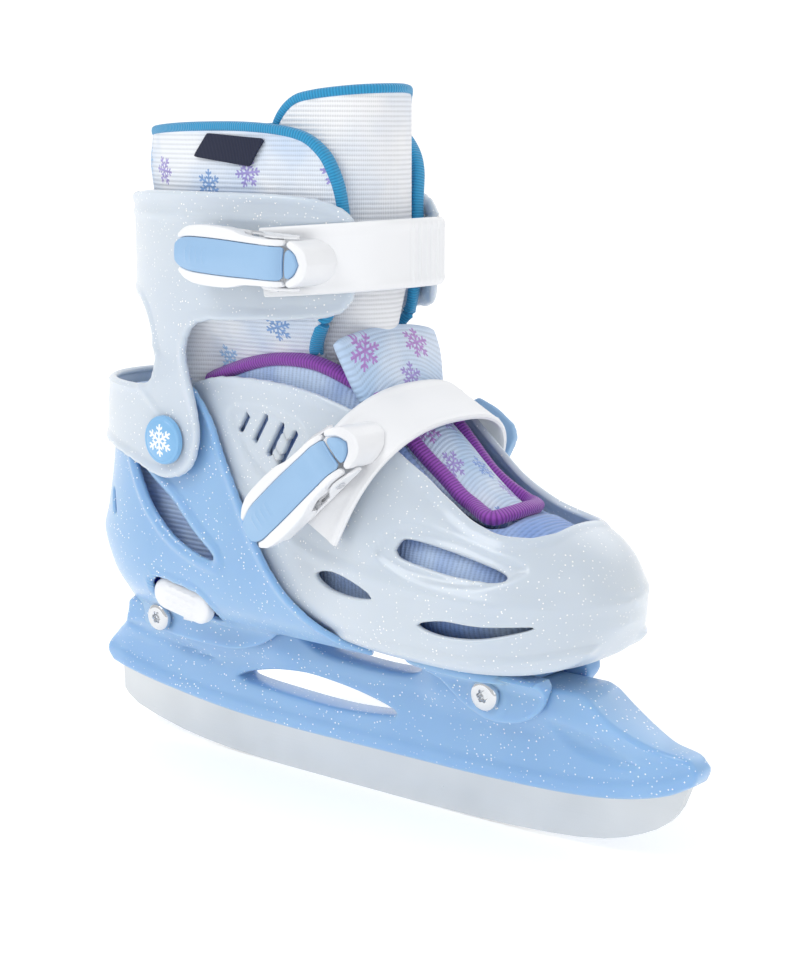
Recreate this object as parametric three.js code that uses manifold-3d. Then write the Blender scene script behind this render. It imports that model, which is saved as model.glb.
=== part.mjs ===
// An adjustable child's ice skate for the right foot: steel blade, moulded holder, hard heel and toe
// shells that slide on each other, a hinged cuff, a padded liner and two lever buckles.
// Millimetres, +X towards the toe, +Y towards the inner side of the foot, +Z up.
// The origin is the middle of the blade's flat running edge.
import * as THREE from 'three';
import { mergeVertices } from 'three/addons/utils/BufferGeometryUtils.js';
import Module from 'manifold-3d';

const wasm = await Module();
wasm.setup();

// Driving dimensions
const clearance = 0.3;
const shellWall = 2.6;
const bladeThickness = 3.4;
const bladeTop = 29;
const railThickness = 12;
const towerThickness = 21;
const lugThickness = 4.2;
const soleBottom = 58.6;
const soleTop = 62;
const ankle = { x: -70, z: 132 };
const strapWidth = 24.5;
const strapThickness = 2.3;
const boltRear = { x: -99, z: 54.5 };
const boltFront = { x: 63, z: 52.5 };
const boltHeadRadius = 5.6;
const boltShankRadius = 2.5;
const boltNutRadius = 4.6;
const holeGap = 0.05;
const wide = 60;
const cuffWall = 2.8;
const linerThickness = 5;
const collarWall = 4;
const collarHalf = 33.6;

// Colours of the finishes
const milky = { color: 0xe3e8ee, roughness: 0.3, metalness: 0 };
const iceBlue = { color: 0x86b3e6, roughness: 0.3, metalness: 0 };
const white = { color: 0xf3f4f6, roughness: 0.35, metalness: 0 };
const lightBlue = { color: 0x86b7e2, roughness: 0.4, metalness: 0 };
const steel = { color: 0xc9cdd2, roughness: 0.3, metalness: 1 };
const chrome = { color: 0xdfe2e6, roughness: 0.15, metalness: 1 };
const knit = { color: 0xdfe7f2, roughness: 0.9, metalness: 0 };
const purpleTape = { color: 0x8a3fa8, roughness: 0.85, metalness: 0 };
const cyanTape = { color: 0x2b9bd0, roughness: 0.85, metalness: 0 };
const navyTape = { color: 0x1d2c52, roughness: 0.8, metalness: 0 };
const foam = { color: 0xb9c2cf, roughness: 0.9, metalness: 0 };

const skate = new THREE.Group();

// Turns a closed geometry into a solid that can be cut and joined.
function solid(geometry) {
  const bare = geometry.clone();
  bare.deleteAttribute('normal');
  bare.deleteAttribute('uv');
  const merged = mergeVertices(bare, 1e-4);
  const mesh = new wasm.Mesh({
    numProp: 3,
    vertProperties: new Float32Array(merged.attributes.position.array),
    triVerts: new Uint32Array(merged.index.array),
  });
  return new wasm.Manifold(mesh);
}

// Turns a solid back into a geometry that a mesh can show.
function geometryOf(body) {
  const mesh = body.getMesh();
  const geometry = new THREE.BufferGeometry();
  geometry.setAttribute('position', new THREE.BufferAttribute(new Float32Array(mesh.vertProperties), 3));
  geometry.setIndex(new THREE.BufferAttribute(new Uint32Array(mesh.triVerts), 1));
  geometry.computeVertexNormals();
  return geometry;
}

// Adds a named piece to the skate, from a geometry or a solid.
function piece(name, shape, finish, parent = skate) {
  const geometry = shape.isBufferGeometry ? shape : geometryOf(shape);
  const mesh = new THREE.Mesh(geometry, new THREE.MeshStandardMaterial(finish));
  mesh.name = name;
  parent.add(mesh);
  return mesh;
}

function joined(...solids) {
  return solids.reduce((whole, next) => whole.add(next));
}

function cut(body, ...tools) {
  return tools.reduce((rest, tool) => rest.subtract(tool), body);
}

// A value that runs smoothly through stations [at, value], and stays level past both ends.
function smooth(stations) {
  const last = stations.length - 1;
  const slopes = stations.map((station, i) => {
    const before = stations[Math.max(i - 1, 0)];
    const after = stations[Math.min(i + 1, last)];
    return (after[1] - before[1]) / (after[0] - before[0]);
  });
  return (at) => {
    if (at <= stations[0][0]) return stations[0][1];
    if (at >= stations[last][0]) return stations[last][1];
    const i = stations.findIndex((station) => station[0] > at) - 1;
    const [a, valueA] = stations[i];
    const [b, valueB] = stations[i + 1];
    const span = b - a;
    const t = (at - a) / span;
    const rise = t * t * (3 - 2 * t);
    const leave = t * (1 - t) * (1 - t) * span * slopes[i];
    const arrive = t * t * (t - 1) * span * slopes[i + 1];
    return valueA + (valueB - valueA) * rise + leave + arrive;
  };
}

// A smooth curve through outline points, as Vector2 points.
function curved(points, count) {
  const curve = new THREE.SplineCurve(points.map(([x, y]) => new THREE.Vector2(x, y)));
  return curve.getPoints(count).map((p) => [p.x, p.y]);
}

// A prism of an XZ outline between two Y values.
function sidePrism(outline, fromY, toY) {
  const shape = new THREE.Shape(outline.map(([x, z]) => new THREE.Vector2(x, z)));
  const geometry = new THREE.ExtrudeGeometry(shape, { depth: toY - fromY, bevelEnabled: false, steps: 1 });
  geometry.rotateX(Math.PI / 2);
  geometry.translate(0, toY, 0);
  return solid(geometry);
}

// A prism of an XY outline between two Z values.
function planPrism(outline, fromZ, toZ) {
  const shape = new THREE.Shape(outline.map(([x, y]) => new THREE.Vector2(x, y)));
  const geometry = new THREE.ExtrudeGeometry(shape, { depth: toZ - fromZ, bevelEnabled: false, steps: 1 });
  geometry.translate(0, 0, fromZ);
  return solid(geometry);
}

function block(x0, x1, y0, y1, z0, z1) {
  const geometry = new THREE.BoxGeometry(x1 - x0, y1 - y0, z1 - z0);
  geometry.translate((x0 + x1) / 2, (y0 + y1) / 2, (z0 + z1) / 2);
  return solid(geometry);
}

// A round bar along Y.
function bar(radius, fromY, toY, x = 0, z = 0, sides = 16) {
  const geometry = new THREE.CylinderGeometry(radius, radius, toY - fromY, sides);
  geometry.translate(x, (fromY + toY) / 2, z);
  return solid(geometry);
}

// A closed solid through equal rings of points; each end is closed by a fan.
function loft(rings) {
  const positions = [];
  const triangles = [];
  const size = rings[0].length;
  rings.forEach((ring) => ring.forEach((p) => positions.push(...p)));
  const index = (ring, i) => ring * size + (i % size);
  for (let r = 0; r < rings.length - 1; r += 1) {
    for (let i = 0; i < size; i += 1) {
      triangles.push(index(r, i), index(r, i + 1), index(r + 1, i));
      triangles.push(index(r, i + 1), index(r + 1, i + 1), index(r + 1, i));
    }
  }
  [[0, -1], [rings.length - 1, 1]].forEach(([ring, side]) => {
    const centre = rings[ring].reduce((sum, p) => sum.map((v, k) => v + p[k] / size), [0, 0, 0]);
    positions.push(...centre);
    const hub = positions.length / 3 - 1;
    for (let i = 0; i < size; i += 1) {
      if (side < 0) triangles.push(hub, index(ring, i + 1), index(ring, i));
      else triangles.push(hub, index(ring, i), index(ring, i + 1));
    }
  });
  const volume = signedVolume(positions, triangles);
  if (volume < 0) {
    for (let i = 0; i < triangles.length; i += 3) {
      [triangles[i], triangles[i + 1]] = [triangles[i + 1], triangles[i]];
    }
  }
  const geometry = new THREE.BufferGeometry();
  geometry.setAttribute('position', new THREE.Float32BufferAttribute(positions, 3));
  geometry.setIndex(triangles);
  return solid(geometry);
}

function signedVolume(positions, triangles) {
  const corner = (i) => new THREE.Vector3().fromArray(positions, 3 * triangles[i]);
  let volume = 0;
  for (let i = 0; i < triangles.length; i += 3) {
    volume += corner(i).dot(corner(i + 1).cross(corner(i + 2))) / 6;
  }
  return volume;
}

// Foot-shaped body: at each x a superellipse of half width, foot, waist and crown heights.
function footBody({ stations, half, bottom, waist, top, lean, crown, base }) {
  const around = 20;
  return loft(stations.map((x) => {
    const ring = [];
    for (let i = 0; i < around; i += 1) {
      const angle = (2 * Math.PI * i) / around;
      const c = Math.cos(angle);
      const s = Math.sin(angle);
      const power = s > 0 ? 2 / crown(x) : 2 / base(x);
      const across = half(x) * Math.sign(c) * Math.abs(c) ** power;
      const reach = s > 0 ? top(x) - waist(x) : waist(x) - bottom(x);
      const rise = reach * Math.sign(s) * Math.abs(s) ** power;
      ring.push([x, lean(x) + across, waist(x) + rise]);
    }
    return ring;
  }));
}

// Half width of a foot body: a round toe past its ball, smooth behind it.
function footHalf(stations, ballX, toeX, less) {
  const sides = smooth(stations);
  return (x) => {
    if (x <= ballX) return sides(x) - less;
    const t = Math.min((x - ballX) / (toeX - ballX), 1);
    return (sides(ballX) - less) * Math.sqrt(1 - t ** 2.3);
  };
}

// Stations that crowd towards the last one, where the toe rounds off.
function crowded(from, to, count, tip) {
  const list = [];
  for (let i = 0; i <= count; i += 1) {
    list.push(from + (to - from) * Math.sin((Math.PI / 2) * (i / count)) ** 0.9);
  }
  list[count] = to - tip;
  return list;
}

// ---- Blade ----
const bladeOutline = [
  ...curved([[15, 0], [63, 1], [100, 4.5], [122, 12], [132, 20], [137, 31]], 14),
  [120, bladeTop - 2], [20, bladeTop], [-110, bladeTop], [-136.5, 28],
  ...curved([[-136, 15], [-128, 9.5], [-102, 3.6], [-75, 0.9], [-45, 0]], 8),
];
const bladePins = { rear: -98, middle: 28, front: 92 };
const pinHeight = 25;
const pinRadius = 1.6;
const bladeHoles = Object.values(bladePins).map((x) =>
  bar(pinRadius + holeGap, -bladeThickness, bladeThickness, x, pinHeight, 12));
piece('blade', cut(sidePrism(bladeOutline, -bladeThickness / 2, bladeThickness / 2), ...bladeHoles), steel);

// ---- Holder ----
const railBottom = curved([[141, 33], [128, 26.5], [103, 21], [66, 18.6], [16, 18], [-59, 18], [-107, 22],
  [-139, 27]], 18);
const holderOutline = [
  ...railBottom, [-143, 31], [-141, 36], [-135, 43], [-131.5, 51], [-131, soleBottom - clearance],
  [-34, soleBottom - clearance],
  ...curved([[-31, 55], [-22, 51], [0, 49.5], [18, 50], [27, 53]], 8),
  [30, soleBottom - clearance], [98, soleBottom - clearance],
  ...curved([[101, 57], [112, 49.5], [126, 43.5], [138, 41.5], [142, 37.5]], 6),
];
const holderWindow = [...curved([[14, 33.5], [-4, 38.5], [-33, 41], [-52, 38.5], [-66, 33]], 10),
  ...curved([[-40, 30.5], [-10, 30]], 2)];
const rearTower = [[-131, 40], [-131, soleBottom - clearance], [-34, soleBottom - clearance], [-31, 54],
  [-40, 46], [-60, 42]];
const frontTower = [[30, 48], [30, soleBottom - clearance], [98, soleBottom - clearance], [108, 51],
  [112, 42], [40, 40]];
const bladeSlot = sidePrism([...bladeOutline.slice(0, 14).map(([x, z]) => [x + 0.4, z - 1]),
  [138, 32], [137.5, bladeTop + 2.5], [120, bladeTop + clearance], [-110, bladeTop + clearance],
  [-137, 28.6], [-137, 8], [-100, 0], [0, -2]],
bladeThickness / -2 - clearance, bladeThickness / 2 + clearance);
const holderPinHoles = Object.values(bladePins).map((x) =>
  bar(pinRadius + holeGap, -railThickness, railThickness, x, pinHeight, 12));
const boltHoles = [boltRear, boltFront].map(({ x, z }) => bar(boltShankRadius + 0.3, -30, 30, x, z));
const rail = sidePrism(holderOutline, -railThickness / 2, railThickness / 2);
const towers = [rearTower, frontTower].map((outline) =>
  sidePrism(outline, -towerThickness / 2, towerThickness / 2));
piece('blade_holder', cut(joined(rail, ...towers), bladeSlot, sidePrism(holderWindow, -20, 20),
  ...holderPinHoles, ...boltHoles), iceBlue);
Object.entries(bladePins).forEach(([place, x]) => {
  piece(`blade_pin_${place}`, bar(pinRadius, -railThickness / 2 + 0.2, railThickness / 2 - 0.2, x,
    pinHeight, 12),
    steel);
});

// ---- Toe shell and heel shell outlines ----
const toeTip = 109.5;
const shellLean = smooth([[-60, 0], [20, 0.5], [60, 3], [110, 4]]);
const toeHalfStations = [[-82, 30], [-57, 31], [-30, 32.6], [0, 35.6], [30, 39.8], [55, 41.3]];
const toeTop = smooth([[-85, 225], [-20, 212], [0, 190], [13, 171], [24, 157], [34, 145], [48, 130], [62,
  121.5],
  [75, 118], [88, 113.5], [97, 108.5], [104, 101], [109.5, 90]]);
const toeBottom = smooth([[-82, 62.4], [50, 62.4], [72, 62.7], [90, 64.8], [102, 70], [109.5, 82]]);
const toeWaist = smooth([[-82, 84], [0, 82], [60, 79], [109.5, 86]]);
const toeCrown = smooth([[-82, 2.7], [0, 2.6], [40, 2.3], [110, 2.2]]);
const toeBase = smooth([[-82, 2.2], [-10, 2.2], [25, 2.8], [60, 3.2], [110, 3.2]]);
function toeBody(less, from, to) {
  return footBody({
    stations: crowded(from, to, 14, 0.25),
    half: footHalf(toeHalfStations, 55, to, less),
    bottom: (x) => toeBottom(x) + less,
    waist: toeWaist,
    top: (x) => toeTop(x + less * 0.4) - less,
    lean: shellLean,
    crown: toeCrown,
    base: toeBase,
  });
}

// Everything above the toe shell's rim and throat, seen from the side.
const toeRim = [
  [-95, 152],
  ...curved([[-61, 154], [-36, 157.5], [-12, 157], [4, 153.5], [15, 147.5], [26, 138.5], [36, 129.5],
    [47, 121.5], [57, 115.5], [66, 112.2], [76, 111.2], [86, 111.4]], 20),
  [91, 112.6], [93, 126], [93, 260], [-95, 260],
];
const ventSlots = [[-38.5, 140.5, 8.5], [-30, 139, 12.5], [-22, 136, 15], [-15.5, 133, 17]].map(([x, z,
  length]) =>
  slotAlong(x, z, length, 2.6, 1.02));
const sideWindows = [
  [...curved([[42, 109.5], [35, 102.5], [44, 99.5], [62, 97.5], [74, 98.5], [79, 101.5]], 10),
    ...curved([[66, 105.5], [52, 108.5]], 2)],
  curved([[1, 90], [9, 92], [19, 90.5], [29, 86.5], [20, 85.5], [8, 86.5]], 12),
  curved([[50, 80], [60, 82.5], [74, 82], [90, 83.5], [76, 79], [60, 78]], 12),
];

// A rounded slot seen from the side: centre, length, width and slope.
function slotAlong(x, z, length, width, angle) {
  const outline = [];
  const corners = 12;
  for (let i = 0; i < corners; i += 1) {
    const turn = (2 * Math.PI * (i + 0.5)) / corners;
    const along = Math.cos(turn) * (width / 2) + Math.sign(Math.cos(turn)) * (length - width) / 2;
    const across = Math.sin(turn) * (width / 2);
    outline.push([x + along * Math.cos(angle) - across * Math.sin(angle),
      z + along * Math.sin(angle) + across * Math.cos(angle)]);
  }
  return outline;
}

const toeRear = -80;
const rearNotch = block(toeRear - 10, -50, -60, 60, 50, 79);
const rivetNotch = block(toeRear - 10, ankle.x + 8, -60, 60, ankle.z - 8, ankle.z + 8);
const toeShell = cut(
  toeBody(0, toeRear, toeTip),
  toeBody(shellWall, toeRear - 4, toeTip - shellWall),
  sidePrism(toeRim, -wide, wide), rearNotch, rivetNotch,
  ...[...ventSlots, ...sideWindows].map((outline) => sidePrism(outline, -wide, wide)),
);
piece('toe_shell', toeShell, milky);

// ---- Heel shell ----
const heelCentre = -100;
const heelBack = smooth([[58.6, -128], [66, -127], [75, -130.5], [86, -135], [90, -135.5], [98, -132.6],
  [115, -129.9],
  [130, -128.2], [148, -127.8]]);
const heelHalf = smooth([[58.6, 17], [63, 24], [70, 30], [80, 33], [92, 33.8], [115, 33.2], [132, 33.5],
  [148, 33.7]]);
const heelFlare = smooth([[60, 0.058], [100, 0.05], [128, 0.018], [150, 0.012]]);
function heelBody(less, fromZ, toZ, frontX) {
  const rings = [];
  const levels = 11;
  for (let k = 0; k <= levels; k += 1) {
    const z = fromZ + ((toZ - fromZ) * k) / levels;
    const half = heelHalf(z) - less;
    const depth = heelCentre - heelBack(z) - less;
    const side = [];
    for (let i = 0; i <= 3; i += 1) {
      const x = frontX + ((heelCentre - frontX) * i) / 3;
      side.push([x, half + heelFlare(z) * (x - heelCentre)]);
    }
    for (let i = 1; i <= 7; i += 1) {
      const angle = (Math.PI / 2) * (i / 7);
      side.push([heelCentre - depth * Math.sin(angle) ** 0.95, half * Math.cos(angle) ** 0.95]);
    }
    const mirrored = side.slice(0, -1).reverse();
    rings.push([...side.map(([x, y]) => [x, -y, z]), ...mirrored.map(([x, y]) => [x, y, z])]);
  }
  return loft(rings);
}
const heelSeam = [...curved([[-60, 152], [-51, 140], [-45, 127], [-34, 109], [-24, 94.5], [-13, 82], [-2, 73],
  [14, soleTop]], 14), [60, soleTop], [60, 200], [-60, 200]];
const lensWindow = [...curved([[-93.5, 122.5], [-83.5, 115], [-72, 107.5], [-61, 98], [-49, 89]], 8),
  ...curved([[-57, 89.5], [-72, 95.5], [-84.5, 107]], 6)];
const heelSlit = slotAlong(-111.5, 102, 10, 2.4, -1.2);
const rearLug = [[-129, soleTop], [-130, 53], [-122, 49.5], ...curved([[-104, 48], [-80, 47], [-62, 47],
  [-50, 50],
  [-40, 55.5], [-31, soleBottom]], 8), [-31, soleTop]];
const frontLug = [[24, soleTop], [34, 57.5], ...curved([[42, 53], [52, 46], [63, 42.5], [75, 43.5], [84, 49],
  [88, soleBottom]], 10), [88, soleTop]];
const lugInner = towerThickness / 2 + clearance;
const lugOuter = lugInner + lugThickness;
const lugs = [rearLug, frontLug].flatMap((outline) => [
  sidePrism(outline, -lugOuter, -lugInner), sidePrism(outline, lugInner, lugOuter)]);
const soleOutline = [[-31, -20], [20, -26], [60, -27], [80, -22], [88, -12], [88, 14], [80, 25], [60, 30],
  [20, 27],
  [-31, 20]];
const buttonCentre = { x: -72, z: 67.9 };
const buttonTurn = -0.18;
const buttonTravel = 2.5;
const buttonFace = -29.5;
const buttonPocket = sidePrism(slotAlong(buttonCentre.x, buttonCentre.z, 31, 13.4, buttonTurn), -45, -18);
const latchTunnel = joined(
  block(buttonCentre.x - 3.4, buttonCentre.x + 3.4, buttonFace + 1.5, 8.2, soleBottom - 1, soleTop + 1),
  block(buttonCentre.x - 3.4, buttonCentre.x + 3.4, buttonFace + 1.5, -18, soleBottom, 66),
);
const boltRecesses = [boltRear, boltFront].flatMap(({ x, z }) => [
  bar(boltHeadRadius + 0.6, -45, -lugOuter, x, z), bar(boltHeadRadius + 0.6, lugOuter, 45, x, z)]);
const heelShell = cut(
  joined(
    cut(heelBody(0, soleBottom, 148, 20), heelBody(shellWall, soleTop, 152, 24), sidePrism(heelSeam, -wide,
      wide),
      sidePrism([[-140, 139], [-118, 142], [-95, 148], [-95, 160], [-140, 160]], -wide, wide)),
    planPrism(soleOutline, soleBottom, soleTop), ...lugs,
  ),
  buttonPocket, ...boltHoles, ...boltRecesses, sidePrism(lensWindow, -wide, wide), sidePrism(heelSlit,
    -wide, wide), latchTunnel,
  ...[-1, 1].map((side) => bar(3.2, side > 0 ? 20 : -50, side > 0 ? 50 : -20, ankle.x, ankle.z)),
);
piece('heel_shell', heelShell, iceBlue);

// ---- Bolts and nuts that clamp the holder in the lugs ----
[['rear', boltRear], ['front', boltFront]].forEach(([place, { x, z }]) => {
  const face = lugOuter + clearance;
  const head = bar(boltHeadRadius, -face - 3, -face, x, z, 24);
  const socket = bar(2, -face - 4, -face - 1, x, z, 6);
  piece(`${place}_bolt`, cut(joined(head, bar(boltShankRadius, -face, face + 3.4, x, z)), socket), chrome);
  const nut = cut(bar(boltNutRadius, face, face + 3.2, x, z, 6), bar(boltShankRadius + clearance, 0, 40, x,
    z));
  piece(`${place}_nut`, nut, chrome);
});

// ---- Size button, its latch and spring, and the rack on the toe shell ----
const buttonCap = sidePrism(slotAlong(buttonCentre.x, buttonCentre.z, 30, 12.2, buttonTurn), buttonFace,
  buttonFace + 3);
const buttonWeb = block(buttonCentre.x - 2.8, buttonCentre.x + 2.8, buttonFace + 2.6, buttonFace + 5, 59.2,
  65.5);
const buttonStem = block(buttonCentre.x - 2.8, buttonCentre.x + 2.8, buttonFace + 4, -2, 59.2, soleTop - 0.4);
piece('size_button', joined(buttonCap, buttonWeb, buttonStem), white);

class Coil extends THREE.Curve {
  constructor(radius, length, turns) {
    super();
    Object.assign(this, { radius, length, turns });
  }

  getPoint(t) {
    const angle = 2 * Math.PI * this.turns * t;
    return new THREE.Vector3(this.radius * Math.cos(angle), this.length * t, this.radius * Math.sin(angle));
  }
}
const wire = new THREE.Shape();
wire.absarc(0, 0, 0.3, 0, 2 * Math.PI);
const springCoil = new THREE.ExtrudeGeometry(wire, {
  steps: 60, curveSegments: 2, bevelEnabled: false, extrudePath: new Coil(1.1, 6.4, 5) });
springCoil.translate(buttonCentre.x, -2 + buttonTravel + 0.7, 60.4);
piece('latch_spring', springCoil, steel);

const rackTeeth = [];
for (let i = 0; i < 5; i += 1) {
  rackTeeth.push(block(-80 + 5 * i, -78 + 5 * i, -12, 12, 62, 63.9));
}
piece('toe_rack', cut(block(-84, -50.4, -5, 5, soleTop + 0.6, 66.6), ...rackTeeth), milky);

// ---- Ankle rivets ----
[['right', -1], ['left', 1]].forEach(([side, sign]) => {
  const along = (a, b) => [Math.min(sign * a, sign * b), Math.max(sign * a, sign * b)];
  const shank = bar(3, ...along(29.4, 38.8), ankle.x, ankle.z, 16);
  const head = bar(6, ...along(28.8, 30.4), ankle.x, ankle.z, 16);
  piece(`ankle_rivet_${side}`, joined(shank, head), chrome);
  const dome = [[0, 0], [9.2, 0], [9.2, 1.2], [8, 2.6], [5, 3.4], [0, 3.7]].map(([r, h]) =>
    new THREE.Vector2(r, h));
  const cap = new THREE.LatheGeometry(dome, 24);
  if (sign < 0) cap.rotateX(Math.PI);
  cap.translate(ankle.x, sign * 39.1, ankle.z);
  piece(`rivet_cap_${side}`, cap, lightBlue);
});

// ---- Padded liner: foot part, insole, tongue and bindings ----
const linerHalfStations = [[-96, 26.2], [-60, 26.4], [-20, 28.2], [20, 31], [50, 34.8]];
const linerTip = 100;
const linerHeel = -123;
const linerHeelRadius = 26.2;
function linerHalf(less) {
  const front = footHalf(linerHalfStations, 50, linerTip - less, less);
  const heelRadius = linerHeelRadius - less;
  const heelX = linerHeel + linerHeelRadius;
  return (x) => {
    if (x >= heelX) return front(x);
    const t = Math.min((heelX - x) / heelRadius, 1);
    return heelRadius * Math.sqrt(1 - t * t);
  };
}
const linerBottom = smooth([[-123, 72], [-112, 68], [-100, 67.6], [60, 67.6], [80, 68], [95, 71], [100, 80]]);
const linerWaist = smooth([[-123, 95], [-90, 88], [0, 84], [60, 80], [100, 86]]);
function linerBody(less) {
  const from = linerHeel + less + 0.3;
  const to = linerTip - less - 0.3;
  const stations = [];
  for (let i = 0; i <= 18; i += 1) {
    stations.push(from + (to - from) * (0.5 - 0.5 * Math.cos(Math.PI * (i / 18))));
  }
  return footBody({
    stations,
    half: linerHalf(less),
    bottom: (x) => linerBottom(x) + less,
    waist: linerWaist,
    top: (x) => toeTop(x + 4) - shellWall - 1.6 - less,
    lean: shellLean,
    crown: toeCrown,
    base: () => 2.2,
  });
}
const linerRim = [[-140, 144.4], [-60, 148.6], [0, 149], ...curved([[12, 144], [24, 135.5], [36, 125.5],
  [47, 117.5], [56, 111.5],
  [62, 109.5]], 8), [66, 112], [67, 260], [-140, 260]];
piece('liner_foot', cut(linerBody(0), linerBody(linerThickness), sidePrism(linerRim, -wide, wide)), knit);
const insoleHalf = linerHalf(linerThickness + 1);
const insoleSide = [];
for (let i = 0; i <= 16; i += 1) {
  const x = -113.5 + 204 * (0.5 - 0.5 * Math.cos(Math.PI * (i / 16)));
  insoleSide.push([x, Math.max(insoleHalf(x), 1)]);
}
piece('insole', planPrism([...insoleSide.map(([x, y]) => [x, shellLean(x) - y]),
  ...insoleSide.reverse().map(([x, y]) => [x, shellLean(x) + y])], 76.5, 79.5)
  .intersect(linerBody(linerThickness + 0.6)), foam);

// The lower tongue fills the throat under the instep strap.
const tongueHalf = smooth([[9, 17.8], [16, 16.6], [22, 15.9], [34, 14], [48, 10], [58, 6.5]]);
const tongueCrest = smooth([[9, 153], [20, 148.5], [32, 140], [44, 129.5], [54, 121], [58, 117.5]]);
const tongueRings = [9, 15, 22, 30, 38, 46, 53, 58].map((x) => {
  const ring = [];
  for (let i = 0; i <= 8; i += 1) {
    const u = -1 + i / 4;
    ring.push([x, shellLean(x) + u * tongueHalf(x), tongueCrest(x) - 7 * u * u]);
  }
  for (let i = 8; i >= 0; i -= 1) {
    const u = -1 + i / 4;
    ring.push([x, shellLean(x) + u * tongueHalf(x), tongueCrest(x) - 7 * u * u - 5.5]);
  }
  return ring;
});
const linerGrown = cut(linerBody(-0.5), linerBody(linerThickness + 0.5),
  sidePrism(linerRim.map(([x, z]) => [x, z + 0.5]), -wide, wide));
piece('tongue_lower', loft(tongueRings).subtract(linerGrown), knit);

// Purple binding along the liner's throat, from one side of the instep round to the other.
function throatPoint(x, side) {
  const z = smooth([[6, 148], [12, 145.8], [24, 137.3], [36, 127.3], [47, 119.3], [56, 113.3], [62,
    111.5]])(x);
  const reach = (z - 81) / (toeTop(x + 4) - shellWall - 1.6 - 81);
  const half = linerHalf(0)(x) * Math.max(1 - reach ** toeCrown(x), 0.02) ** (1 / toeCrown(x));
  return new THREE.Vector3(x, shellLean(x) + side * (half - 2), z);
}
const throatXs = [8, 16, 24, 32, 40, 48, 55];
const throatPath = new THREE.CatmullRomCurve3([
  ...throatXs.map((x) => throatPoint(x, -1)),
  new THREE.Vector3(63, -5, 113), new THREE.Vector3(63, 11, 113),
  ...[...throatXs].reverse().map((x) => throatPoint(x, 1)),
]);
const tapeSection = new THREE.Shape([[-1.1, -1.1], [1.1, -1.1], [1.1, 1.1], [-1.1, 1.1]].map(([x, y]) =>
  new THREE.Vector2(x, y)));
piece('vamp_binding', new THREE.ExtrudeGeometry(tapeSection, {
  steps: 44, bevelEnabled: false, extrudePath: throatPath }), purpleTape);

// ---- Cuff ----
const cuffCentre = -50;
// Half of a plan outline round the leg: a superellipse deeper behind than in front.
function legOutline(half, back, front, limitX, count, power = 2.6) {
  const outline = [];
  const start = Math.acos(Math.min(((limitX - cuffCentre) / front) ** (power / 2), 1));
  for (let i = 0; i <= count; i += 1) {
    const angle = start + (Math.PI - start) * (i / count);
    const c = Math.cos(angle);
    const reach = c > 0 ? front : back;
    outline.push([cuffCentre + reach * Math.sign(c) * Math.abs(c) ** (2 / power),
      half * Math.sin(angle) ** (2 / power)]);
  }
  return outline;
}

// A wall round the leg, open in front, between two offsets from the outline.
function legWall(half, back, front, limitX, wall, fromZ, toZ, count = 18) {
  const outer = legOutline(half, back, front, limitX, count);
  const inner = legOutline(half - wall, back - wall, front - wall, limitX - wall * 0.3, count);
  const near = outer.map(([x, y]) => [x, -y]);
  const far = outer.slice(0, -1).reverse();
  const innerFar = inner.slice(0, -1);
  const innerNear = [...inner].reverse().map(([x, y]) => [x, -y]);
  return planPrism([...near, ...far, ...innerFar, ...innerNear], fromZ, toZ);
}
const cuffHalf = 38.4;
const cuffBack = 65.5;
const cuffFrontReach = 67;
const cuffTip = 9.5;
const cuffSide = [
  ...curved([[22, 213], [8, 221], [-10, 223.5], [-40, 224], [-85, 223.5], [-117, 219]], 10),
  [-120, 216], [-120, 196], [-116, 172], [-132, 146], [-132, 128],
  ...curved([[-128, 127], [-106, 125], [-88, 121.5], [-76, 118], [-62, 119], [-55.5, 128]], 10),
  ...curved([[-55, 142], [-58.5, 155], [-61.5, 167], [-57, 175], [-48, 178.5]], 8),
  [-20, 180], [8, 182], [16, 188], [22, 200],
];
const rearWindow = [[-45, 152], [45, 152], [45, 172], [30, 175], [-30, 175], [-45, 172]];
const rearCut = planeCut(rearWindow, -140, -80);
function planeCut(outlineYZ, fromX, toX) {
  const shape = new THREE.Shape(outlineYZ.map(([y, z]) => new THREE.Vector2(y, z)));
  const geometry = new THREE.ExtrudeGeometry(shape, { depth: toX - fromX, bevelEnabled: false, steps: 1 });
  geometry.rotateX(Math.PI / 2);
  geometry.rotateZ(Math.PI / 2);
  geometry.translate(fromX, 0, 0);
  return solid(geometry);
}
const cuffUpper = legWall(cuffHalf, cuffBack, cuffFrontReach, cuffTip, cuffWall, 150, 226);
// The lower ring reaches further back, over the top of the heel shell.
const ringLevels = [116, 124, 132, 140, 148, 154];
const ringReach = smooth([[116, 34], [132, 33.6], [148, 30], [158, 23]]);
function ringBody(less, fromZ, toZ) {
  return loft(ringLevels.map((level, k) => {
    const z = k === 0 ? fromZ : k === ringLevels.length - 1 ? toZ : level;
    const reach = ringReach(level) - less;
    const half = cuffHalf - less;
    const ring = [];
    for (let i = 0; i <= 14; i += 1) {
      const angle = -Math.PI / 2 + (Math.PI * i) / 14;
      ring.push([heelCentre - reach * Math.cos(angle) ** 0.9, half * Math.sin(angle), z]);
    }
    ring.push([-30, half, z], [-30, -half, z]);
    return ring;
  }));
}
const cuffLower = cut(ringBody(0, 114, 156), ringBody(cuffWall, 112, 158));
const cuffBody = joined(cuffUpper, cuffLower).intersect(sidePrism(cuffSide, -wide, wide));
const armSlit = slotAlong(-103, 201, 12, 2.2, -1.15);
piece('cuff', cut(cuffBody, rearCut, sidePrism(armSlit, -60, -20),
  ...[-1, 1].map((side) => bar(3.3, side > 0 ? 20 : -60, side > 0 ? 60 : -20, ankle.x, ankle.z))), milky);

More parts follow.
